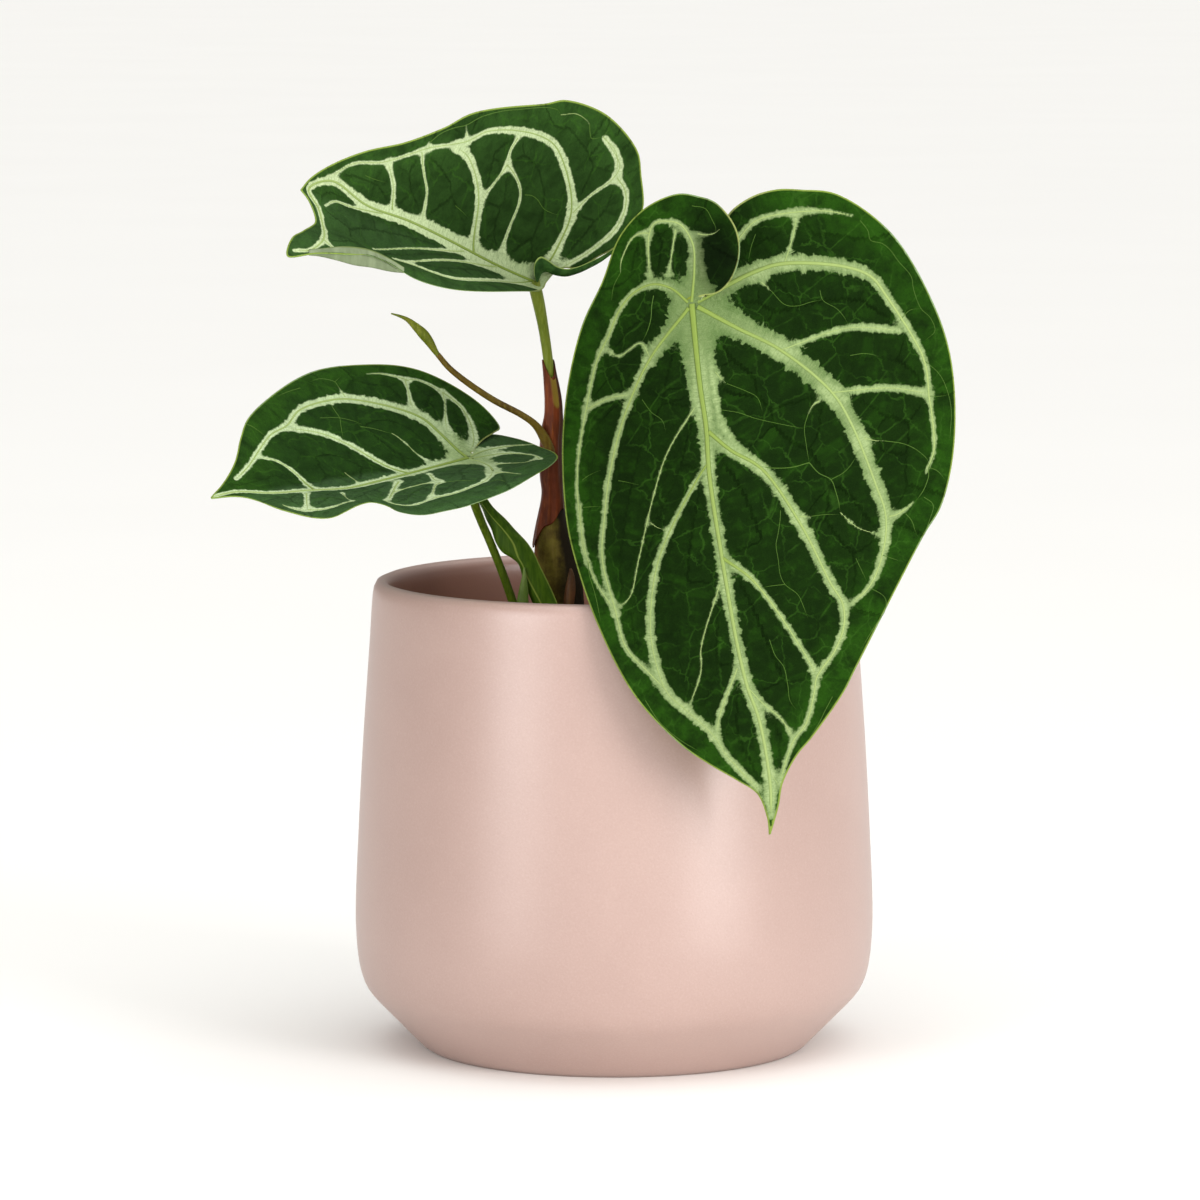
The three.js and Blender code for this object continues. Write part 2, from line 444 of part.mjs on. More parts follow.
// The blade as one closed body: upper face, under face with its ribs, and the margin between.
function blade(leaf, grow = 0) {
  const { points, rim } = leaf.net ?? (leaf.net = net(leaf));
  const ring = points.slice(0, rim).map((p) => [p.u, p.v]);
  const tip = new THREE.Vector3(...leaf.tip).normalize();
  const face = new THREE.Vector3(...leaf.face);
  face.addScaledVector(tip, -face.dot(tip)).normalize();
  const frame = new THREE.Matrix4().makeBasis(tip.clone().cross(face), tip, face);
  frame.setPosition(...leaf.at);
  const place = (x, y, half) => new THREE.Vector3(x, y, sheet(leaf, x, y, half));
  const top = [];
  const under = [];
  points.forEach((p) => {
    const [x, y] = lap(leaf, p.u, p.v, p.half);
    const here = place(x, y, p.half);
    const e = NORMAL_STEP;
    const dx = place(x + e, y, p.half).sub(place(x - e, y, p.half));
    const dy = place(x, y + e, p.half).sub(place(x, y - e, p.half));
    const normal = dx.cross(dy).normalize();
    const lift = p.cell ? QUILT_HEIGHT : -RIB_GROOVE * p.vein;
    const depth = BLADE_THICKNESS + (RIB_HEIGHT + RIB_GROOVE) * p.vein;
    const upper = here.clone().addScaledVector(normal, lift + grow);
    const lower = here.clone().addScaledVector(normal, lift - depth - grow);
    top.push(upper.applyMatrix4(frame).toArray());
    under.push(lower.applyMatrix4(frame).toArray());
  });
  const count = points.length;
  const faces = [];
  delaunay(points.map((p) => [p.u, p.v])).forEach(([a, b, c]) => {
    const mid = ['u', 'v'].map((k) => (points[a][k] + points[b][k] + points[c][k]) / 3);
    if (!inside(mid, ring)) return;
    const area = (points[b].u - points[a].u) * (points[c].v - points[a].v)
      - (points[c].u - points[a].u) * (points[b].v - points[a].v);
    const [p, q] = area > 0 ? [b, c] : [c, b];
    faces.push([a, p, q], [a + count, q + count, p + count]);
  });
  const edge = new Map();
  faces.filter(([a]) => a < count).forEach(([a, b, c]) => {
    [[a, b], [b, c], [c, a]].forEach(([p, q]) => {
      if (edge.has(`${q},${p}`)) edge.delete(`${q},${p}`);
      else edge.set(`${p},${q}`, [p, q]);
    });
  });
  edge.forEach(([p, q]) => {
    faces.push([p, p + count, q + count], [p, q + count, q]);
  });
  return indexed(top.concat(under), faces);
}

// ---- pot and mix -------------------------------------------------------------------------
function turned(profile, sides) {
  const points = profile.map(([r, z]) => new THREE.Vector2(r, z));
  const lathe = new THREE.LatheGeometry(points, sides);
  lathe.rotateX(Math.PI / 2);
  lathe.deleteAttribute('normal');
  lathe.deleteAttribute('uv');
  return lathe;
}

// Repeatable draw between 0 and 1.
function draw(seed) {
  const wave = Math.sin(seed * 127.1 + 11.7) * 43758.5453;
  return wave - Math.floor(wave);
}

function mixHeight(x, y) {
  const roll = 1.1 * Math.sin(x * 0.11 + 1.3) * Math.cos(y * 0.09) + 0.8 * Math.sin(x * 0.23 + y * 0.19);
  return MIX_LEVEL + roll + 2.2 * Math.exp(-((x + 15) ** 2 + y ** 2) / 700);
}

// Potting mix: a body that fills the pot, an uneven top, and lumps of bark fused into it.
function pottingMix(holes) {
  const wall = [...POT_INSIDE].reverse().filter(([, z]) => z < MIX_LEVEL - 6);
  const rows = wall.map(([r, z]) => [r - FIT_GAP, z + (z === POT_FLOOR ? FIT_GAP : 0)]);
  const sides = 28;
  const vertices = [[0, 0, POT_FLOOR + FIT_GAP]];
  const faces = [];
  const topRings = [65.3, 50, 35, 19]; // radii of the uneven top, from the wall inwards
  const rings = [...rows, ...topRings.map((r) => [r, null])];
  rings.forEach(([r, z]) => {
    for (let k = 0; k < sides; k += 1) {
      const turn = (2 * Math.PI * k) / sides;
      const [x, y] = [r * Math.cos(turn), r * Math.sin(turn)];
      vertices.push([x, y, z ?? mixHeight(x, y)]);
    }
  });
  vertices.push([0, 0, mixHeight(0, 0)]);
  const last = vertices.length - 1;
  for (let k = 0; k < sides; k += 1) {
    const n = (k + 1) % sides;
    faces.push([0, 1 + n, 1 + k]);
    for (let i = 0; i < rings.length - 1; i += 1) {
      const [a, b] = [1 + i * sides + k, 1 + i * sides + n];
      faces.push([a, b, b + sides], [a, b + sides, a + sides]);
    }
    const edge = 1 + (rings.length - 1) * sides;
    faces.push([edge + k, edge + n, last]);
  }
  let body = solid(indexed(vertices, faces));
  for (let i = 0; i < MIX_CHUNKS; i += 1) {
    const turn = i * 2.4 + draw(i);
    const reach = 12 + 46 * Math.sqrt((i + 0.5) / MIX_CHUNKS);
    const [x, y] = [reach * Math.cos(turn), reach * Math.sin(turn)];
    const chunk = new THREE.IcosahedronGeometry(1, 0);
    chunk.deleteAttribute('normal');
    chunk.deleteAttribute('uv');
    chunk.scale(3.5 + 2.5 * draw(i + 50), 2.5 + 2 * draw(i + 90), 1.8 + 1.2 * draw(i + 20));
    chunk.rotateX(draw(i + 7) - 0.5).rotateZ(6.3 * draw(i + 31));
    chunk.translate(x, y, mixHeight(x, y) + 0.4);
    const count = chunk.attributes.position.count;
    chunk.setIndex([...Array(count).keys()]);
    body = body.add(solid(chunk));
  }
  holes.forEach((hole) => {
    body = body.subtract(solid(hole));
  });
  return geometryOf(body.decompose().sort((a, b) => b.volume() - a.volume())[0]);
}

// A bar cut back to clear what it stands against; the largest piece below is kept.
function fitted(stations, against, options) {
  let body = solid(bar(stations, options));
  against.forEach((other) => {
    body = body.subtract(solid(other));
  });
  return geometryOf(body.decompose().sort((a, b) => b.volume() - a.volume())[0]);
}

const plant = new THREE.Group();
function piece(name, geometry, look) {
  const [color, roughness] = COLOURS[look];
  const material = new THREE.MeshStandardMaterial({ color, roughness, metalness: 0 });
  const mesh = new THREE.Mesh(geometry, material);
  mesh.name = name;
  plant.add(mesh);
}

const grown = (stations) => bar(stations, { grow: FIT_GAP });
const potProfile = [[0, 0], ...POT_OUTSIDE, ...POT_INSIDE, [0, POT_FLOOR]];

piece('pot', turned(potProfile, POT_SIDES), 'glaze');
piece('potting_mix', pottingMix([
  grown(STEM), grown(PETIOLE_LEFT), grown(PETIOLE_FRONT), grown(STRAP_SHEATH),
  grown(SLIVER_SHEATH), grown(BASE_BRACT),
]), 'mix');
piece('stem', bar(STEM, { sides: 14 }), 'stem');
piece('sheath_upper', fitted(SHEATH_UPPER, [grown(PETIOLE_TOP), grown(YOUNG_STALK)],
  { sides: 12 }), 'sheath');
piece('petiole_top', fitted(PETIOLE_TOP, [blade(TOP, FIT_GAP)]), 'petiole');
piece('petiole_left', fitted(PETIOLE_LEFT, [blade(LEFT, FIT_GAP)]), 'petiole');
piece('petiole_front', fitted(PETIOLE_FRONT, [blade(FRONT, FIT_GAP)], { step: 8 }), 'petiole');
piece('sheath_strap', bar(STRAP_SHEATH), 'green');
piece('sheath_sliver', bar(SLIVER_SHEATH, { sides: 8 }), 'green');
piece('bract_base', fitted(BASE_BRACT, [grown(STEM)], { sides: 8 }), 'bract');
piece('young_stalk', bar(YOUNG_STALK, { sides: 8 }), 'petiole');
piece('young_leaf', fitted(YOUNG_LEAF, [grown(YOUNG_STALK)], { sides: 8, step: 3 }), 'green');
piece('blade_front', blade(FRONT), 'blade');
piece('blade_top', blade(TOP), 'blade');
piece('blade_left', blade(LEFT), 'blade');

export default plant;
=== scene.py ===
"""Looks of a potted Anthurium crystallinum: velvet blades with pale nets of veins, dry sheaths
round a short stem, and a satin dusty pink pot of bark mix. Shapes are worked out in millimetres
and put into the meshes in metres."""
import math

import bpy
import numpy as np
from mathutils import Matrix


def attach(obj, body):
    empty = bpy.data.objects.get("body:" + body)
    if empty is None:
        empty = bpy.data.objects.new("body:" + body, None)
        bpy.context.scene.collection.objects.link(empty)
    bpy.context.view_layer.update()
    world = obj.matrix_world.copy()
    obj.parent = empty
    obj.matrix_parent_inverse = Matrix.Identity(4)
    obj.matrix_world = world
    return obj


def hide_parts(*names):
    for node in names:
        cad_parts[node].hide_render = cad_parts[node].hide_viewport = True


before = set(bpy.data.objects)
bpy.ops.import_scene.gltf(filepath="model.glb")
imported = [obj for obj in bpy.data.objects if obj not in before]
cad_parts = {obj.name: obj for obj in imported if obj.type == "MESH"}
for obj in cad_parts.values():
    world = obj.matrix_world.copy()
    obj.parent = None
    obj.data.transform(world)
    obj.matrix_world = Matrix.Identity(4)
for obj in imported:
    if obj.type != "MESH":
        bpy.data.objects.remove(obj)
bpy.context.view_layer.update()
MM = 0.001

# ---- camera and light ------------------------------------------------------------------------
IMAGE_SIDE = 1200
FOCAL_PIXELS = 6276
CAMERA_PLACE = (-4.1, -1800.0, 339.0)
CAMERA_DOWN = 6.64
WORLD_LOW = 0.9
WORLD_HIGH = 1.71
LIGHT_AIM = (0.0, 0.0, 0.1)

# ---- the blades ------------------------------------------------------------------------------
# Every blade is drawn flat: x across it, y along the midrib, from the petiole at (0, 0) to the
# tip. 'plus' is the half on the +x side and 'minus' the other, each from the sinus to the tip.
# 'at' is where the petiole joins, 'tip' the way the midrib points, 'face' the way the upper face
# looks. At each of the 'stations' along y, 'spine' lifts the midrib, 'slope' tilts each half and
# 'bow' curves it, [plus, minus]. 'swells' are [half, x, y, width, length, height]. 'cup_shade' is
# where shade is painted into the hollow of a lobe, [half, x, y, width, length]. 'sinus' is the
# bearing of the gap between the lobes, 'lap' how far each reaches past it, in degrees, and 'part'
# lifts the lobes beside it. 'fine' scales how ragged the pale bands are and how wide the ridges of
# the main veins are, and 'pitch' is the size of the mesh's squares.
# A vein is [rank, half, half widths of its pale band from start to end, path]. The ranks are M
# midrib, A main vein, B branch, C thin pale vein, D fine vein without a band, W band only.
FRONT = {
    "at": [21.2, -77, 219.9], "tip": [14.3, -11, -98.2], "face": [0, -100, 12],
    "stations": [-35, 0, 40, 80, 115, 150], "spine": [0, 0, 1, 1, 0, -2],
    "slope": [[-0.45, -0.45, -0.45, -0.28, -0.15, -0.05], [-0.05, -0.1, -0.12, -0.1, -0.08, -0.05]],
    "bow": [[-0.4, -0.8, -0.8, -0.4, -0.3, 0], [-0.1, -0.15, -0.25, -0.3, -0.2, 0]],
    "swells": [[1, -13, -12, 8, 10, 4], [1, -17, -16, 5, 12, 4]], "cup_shade": [1, -9, -13, 6.5, 10],
    "fine": 1, "sinus": -150, "lap": [19, 31], "part": [4, -2],
    "plus": [[-2.3, -2.3], [-8, -2.5], [-12.5, -6.5], [-15, -13], [-14.5, -20], [-10.5, -27],
             [-6, -29.5], [-0.5, -31], [9, -28.5], [17, -22], [23.5, -10.5], [30.5, 0], [36.5, 14.5],
             [40.5, 30], [42.5, 46.5], [42.5, 59.5], [38.5, 82.5], [31, 104], [20.5, 119], [13.5, 125.5],
             [6.5, 131], [1.5, 135.5], [-0.2, 142], [0, 148.5]],
    "minus": [[-2.3, -2.3], [-6.5, -7], [-9, -13], [-13, -23], [-20, -27.3], [-27.5, -28.5],
              [-34.5, -27.5], [-44, -25], [-57.5, -12.5], [-66.5, 8], [-69.5, 25], [-67, 48], [-61, 64],
              [-54.5, 72], [-31, 104.5], [-26, 111.5], [-15.5, 122.5], [-11, 126.5], [-6, 133.5],
              [-4, 139.5], [0, 148.5]],
    "pitch": 0.62,
    "veins": [
        ["M", 1, [3.4, 1.9, 1.7, 1.3], [[0, -0.5], [1, 21.5], [1, 34], [2, 46.5], [1.8, 70.5], [1, 95],
         [0, 105.5], [-2, 115.5], [-2.5, 133], [-1.5, 142]]],
        ["A", -1, [2.5, 1.9, 1.2, 0.6], [[-1.5, -1], [-19, -7], [-27, -8], [-44.5, -4.5], [-50.5, -1],
         [-54, 5], [-59.5, 16.5], [-62, 24], [-62, 32.5], [-61, 49], [-58, 54.5]]],
        ["B", -1, [0.7, 0.5, 0.6, 0.9], [[-27, -8], [-30.5, -15.5], [-32.5, -21.5]]],
        ["B", -1, [1.1, 0.9, 1, 0.3], [[-12, -12.5], [-16, -17], [-21, -20.8], [-39, -21],
         [-47.5, -18.5]]],
        ["A", -1, [2.2, 2.7, 2, 0.8], [[-1.5, 0.5], [-11, 7.5], [-22.5, 15.5], [-35, 29], [-39, 38],
         [-43.5, 56], [-45, 64.5], [-43, 74], [-38, 83], [-32, 87.5]]],
        ["B", -1, [0.7, 0.8, 1, 1.1], [[-22.5, 15.5], [-42, 12], [-56, 14.5]]],
        ["B", -1, [0.9, 0.9, 1, 1.2], [[-35, 29], [-51.5, 30], [-62, 33]]],
        ["A", -1, [1.8, 1.6, 1, 0.7], [[0.5, 35], [-5, 41], [-12.5, 47], [-21, 63.5], [-27, 81],
         [-29.5, 87], [-29, 93], [-25.5, 99.5], [-19.5, 106], [-18, 110.5], [-14.5, 118.5],
         [-10.5, 122.5], [-5, 133.5]]],
        ["A", -1, [1.5, 0.8, 0.8, 0.9], [[1.5, 70], [-6, 77.5], [-18, 101.5], [-19.5, 106]]],
        ["C", -1, [0.9, 0.8, 0.6, 0.5], [[0, 106], [-4, 111.5], [-8, 116], [-10.5, 121.5]]],
        ["A", 1, [1.3, 1.1, 0.7, 0.5], [[0, -1], [-2, -10], [-2.5, -17], [0, -22.5], [3.5, -24],
         [7, -24], [9, -21], [10.5, -9.5]]],
        ["A", 1, [1.1, 0.9, 0.6, 0.6], [[1, -1], [5, -5.5], [10, -7.5], [15.5, -6], [20, -2], [24, 4.5],
         [28, 10.5], [33, 23.5], [37.5, 38.5], [39, 50], [38, 68.5], [33, 80.5]]],
        ["A", 1, [1.5, 1.1, 0.9, 1], [[1, 0.5], [13.5, 12.5], [22.5, 26.5], [29, 42], [32.5, 55],
         [34.5, 65.5], [33, 79.5], [31.5, 90.5], [26.5, 98], [22, 104]]],
        ["B", 1, [0.6, 0.4, 0.5, 0.8], [[13.5, 12.5], [15.5, 8], [22, 10.5], [25, 8]]],
        ["B", 1, [0.9, 0.9, 1, 1], [[33, 23.5], [26, 21.5], [19.5, 21.5]]],
        ["C", 1, [0.35, 0.3, 0.3, 0.3], [[3.5, 28], [12.5, 39], [18.5, 51.5], [24.5, 67], [28.5, 77],
         [32.5, 79.5]]],
        ["A", 1, [0.7, 1.2, 1.6, 0.9], [[1.5, 43], [5.5, 47.5], [19, 67.5], [24, 85.5], [24, 95.5],
         [22, 104.5], [17.5, 110], [11, 118], [8.5, 123.5], [1, 134]]],
        ["C", 1, [0.3, 0.3, 0.3, 0.3], [[3.5, 77], [11, 93.5], [12, 100], [16.5, 109]]],
        ["B", 1, [0.9, 0.9, 0.9, 0.8], [[2, 100.5], [9, 113.5], [10, 118]]],
        ["C", 1, [0.45, 0.3, 0.3, 0.35], [[1.5, -21.3], [2.4, -18.6], [3.3, -15.5], [4.4, -12.1],
         [5.1, -9.6]]],
        ["C", 1, [0.8, 0.4, 0.3, 0.15], [[8.9, -21.5], [11.1, -21.9], [13.7, -20.9], [16, -17.9],
         [17.5, -15.1], [18.2, -12.2]]],
        ["D", 1, [0.1], [[18.2, -12.2], [20.3, -9.1], [21.7, -5]]],
        ["D", 1, [0.14], [[10.1, -4.4], [10.9, -1.8], [11.7, 1.9], [13.5, 5.5], [15, 7.5]]],
        ["C", 1, [0.3, 0.15, 0.3, 0.45], [[38.5, 49.5], [39, 55.2], [39.4, 59.2], [39.4, 62],
         [38.7, 65.7]]],
        ["D", 1, [0.1], [[38.7, 65.7], [38.7, 69.3], [38, 73.6], [37.6, 77.2], [37.3, 82.2]]],
        ["D", 1, [0.1], [[38.7, 65.7], [36.1, 65.5]]],
        ["D", 1, [0.1], [[36.9, 42.8], [35.1, 41.9], [31.3, 40.8]]],
        ["D", 1, [0.1], [[37.8, 50.3], [34.4, 50.6], [32.6, 50.8]]],
        ["D", 1, [0.1], [[26.9, 44.5], [24.3, 45.4], [21.2, 46.7]]],
        ["C", 1, [0.2, 0.15, 0.15, 0.2], [[19.8, 57.4], [18.2, 58.9], [15.9, 60.1]]],
        ["D", 1, [0.1], [[17.3, 23.4], [15.1, 27.2], [12.5, 29.9], [12.1, 32.8]]],
        ["D", 1, [0.1], [[28.2, 105.7], [25.2, 112.1], [20.2, 117.9], [15.2, 121.9]]],
        ["C", 1, [0.5, 0.3, 0.2, 0.15], [[6.8, 125.9], [4.1, 130.4], [1.4, 134.3], [0.2, 137.4]]],
        ["D", 1, [0.1], [[-3.9, -27.1], [-7.5, -25.7], [-8.8, -22.3], [-9.3, -19.9], [-8.4, -18.4]]],
        ["C", 1, [0.7, 0.4, 0.3, 0.2], [[-4.3, -19.3], [-6.5, -18.6], [-8.5, -18.7], [-10.4, -19.5]]],
        ["D", -1, [0.1], [[-20.2, -17.1], [-18.5, -13.8], [-17.1, -9.9]]],
        ["C", -1, [0.35, 0.3, 0.15, 0.1], [[-19.9, -3.7], [-21.1, -2.4], [-22.3, -1]]],
        ["D", -1, [0.1], [[-22.3, -1], [-25.4, 3.3], [-28.6, 4.1], [-32.9, 3.5], [-35.9, 3.4]]],
        ["D", -1, [0.1], [[-35.6, 0.7], [-35.9, 3.4], [-39.6, 6.4], [-41.3, 8.9], [-42.2, 11.2]]],
        ["D", -1, [0.1], [[-49.5, -16.9], [-51.2, -13.7], [-51.4, -11.2], [-54.6, -9.8], [-56.5, -7.8],
         [-58.4, -4.3], [-61.3, 0.2], [-61.5, 3.9], [-62.9, 9.4], [-65.1, 12.2], [-65.9, 16],
         [-63.2, 18.1]]],
        ["D", -1, [0.1], [[-56.7, 11.9], [-59.9, 9.4], [-62.9, 9.4]]],
        ["D", -1, [0.1], [[-61.8, 33.7], [-64.9, 34.1], [-67.3, 34]]],
        ["D", -1, [0.1], [[-61.9, 23.6], [-65.7, 28.2], [-67.3, 34], [-67.4, 38.7], [-65.9, 46.4]]],
        ["C", -1, [0.25, 0.12, 0.1, 0.1], [[-3.8, 19], [-5.2, 21.3], [-6.5, 22.6]]],
        ["D", -1, [0.1], [[-6.5, 22.6], [-11, 25.2], [-14.1, 27.6], [-15, 31.8]]],
        ["D", -1, [0.1], [[-3.8, 29.5], [-8.3, 30.9], [-12.8, 33.2], [-19.4, 35.7], [-25.5, 37.7]]],
        ["C", -1, [0.5, 0.25, 0.2, 0.2], [[-31.1, 30.8], [-29.1, 31.8], [-27.5, 34.1]]],
        ["D", -1, [0.1], [[-27.5, 34.1], [-25.9, 37.6], [-25.6, 42.5], [-25.7, 47.3]]],
        ["D", -1, [0.15], [[-25.7, 47.3], [-20.5, 47.9], [-14.2, 47], [-11.5, 45.9]]],
        ["D", -1, [0.15], [[-25.7, 47.3], [-27.9, 50.5], [-31, 52.8], [-31.9, 56.3], [-32.4, 59.5],
         [-32.5, 62.1]]],
        ["D", -1, [0.1], [[-31, 52.8], [-35.3, 51.1], [-37.8, 49], [-39.4, 47]]],
        ["C", -1, [0.2, 0.4, 0.2, 0.4], [[-32.5, 62.1], [-34.7, 65], [-36.9, 67.1], [-40, 68.7],
         [-42.1, 69.7]]],
        ["C", -1, [0.5, 0.2, 0.1, 0.1], [[-42.1, 42.7], [-45, 43.8], [-47.5, 44.2]]],
        ["D", -1, [0.12], [[-47.5, 44.2], [-52.5, 45.7], [-56.3, 48.1], [-59, 51.2], [-59.1, 53.2]]],
        ["D", -1, [0.15], [[-60.9, 50.2], [-59.1, 53.2], [-58.5, 55.8], [-56.6, 59.1], [-53.8, 62.2]]],
        ["D", -1, [0.1], [[-59.1, 53.2], [-61.2, 54.5], [-63.1, 57.5]]],
        ["C", -1, [1.1, 1, 0.7, 0.2], [[-45.9, 65.1], [-48, 64.9], [-50.5, 63.9], [-53.4, 62]]],
        ["D", -1, [0.12], [[-50.6, 65], [-51.9, 67], [-52.4, 70.2], [-52.9, 71.6]]],
        ["D", -1, [0.1], [[-56.3, 61.1], [-58.5, 63.6], [-57, 67.5], [-54.6, 71.6], [-52.5, 74]]],
        ["C", -1, [0.5, 0.2, 0.15, 0.1], [[-21, 61.5], [-22.8, 61.9], [-24.5, 62]]],
        ["D", -1, [0.1], [[-24.5, 62], [-28.5, 62.1], [-32, 62.6]]],
        ["D", -1, [0.1], [[-16.1, 59.2], [-15.6, 61.7], [-14.3, 65.8], [-13.4, 68.3], [-13.4, 72.5],
         [-13.4, 76.8], [-14.3, 79.5], [-17.4, 82.8], [-18.4, 85.9], [-19.3, 89.7]]],
        ["D", -1, [0.1], [[-14.3, 79.5], [-10.2, 79.4], [-7.5, 79.5]]],
        ["D", -1, [0.1], [[-42.2, 75.2], [-46.2, 77.3], [-47.9, 78.1]]],
        ["D", -1, [0.1], [[-34.8, 75.2], [-35.7, 77.9], [-37.1, 82]]],
        ["D", -1, [0.1], [[-38, 84.1], [-40.6, 86.1], [-41.5, 87.8], [-40.7, 90.9], [-37.6, 94.2],
         [-32.8, 100]]],
        ["D", -1, [0.1], [[-7.9, 93.9], [-8.8, 98.4], [-10.7, 101.9], [-11.1, 107.1], [-11.1, 111.3],
         [-12.5, 114.1]]],
        ["D", -1, [0.1], [[-22.9, 112], [-20.2, 115.7], [-17.9, 119], [-14.7, 122.4]]],
        ["C", -1, [0.2, 0.15, 0.15, 0.1], [[-2.9, 130.8], [-4.3, 132.9], [-4.7, 135.3]]],
        ["D", -1, [0.1], [[-41.3, 19.6], [-45.5, 19.6], [-49.6, 21]]],
        ["W", -1, [1.4, 0.9, 0.9, 0.9], [[-2.8, 3.2], [-2.5, 12.7], [-2.5, 22.2], [-2.9, 32]]],
        ["W", -1, [1.2, 1, 0.9, 0.5], [[-3.4, 33.4], [-5.2, 37.5], [-7.9, 41.9], [-11.1, 47.3]]],
        ["W", 1, [1.6, 1.2, 0.9, 0.6], [[1.6, 2.7], [2.5, 9.3], [2.9, 15.9], [3.3, 24.3]]],
        ["W", -1, [1.4, 1.5, 1.4, 1], [[-7.9, 3.1], [-13.1, 6.6], [-17.8, 10.2], [-22.6, 14.3]]],
        ["W", 1, [1, 0.8, 0.7, 0.4], [[-2.8, -2.4], [-3.5, -6.7], [-3.8, -11.4], [-4.1, -16.4]]],
        ["W", 1, [0.9, 0.9, 0.8, 0.6], [[3.1, 3], [6.6, 6.4], [10.4, 9.7], [13, 12.3]]],
    ]}
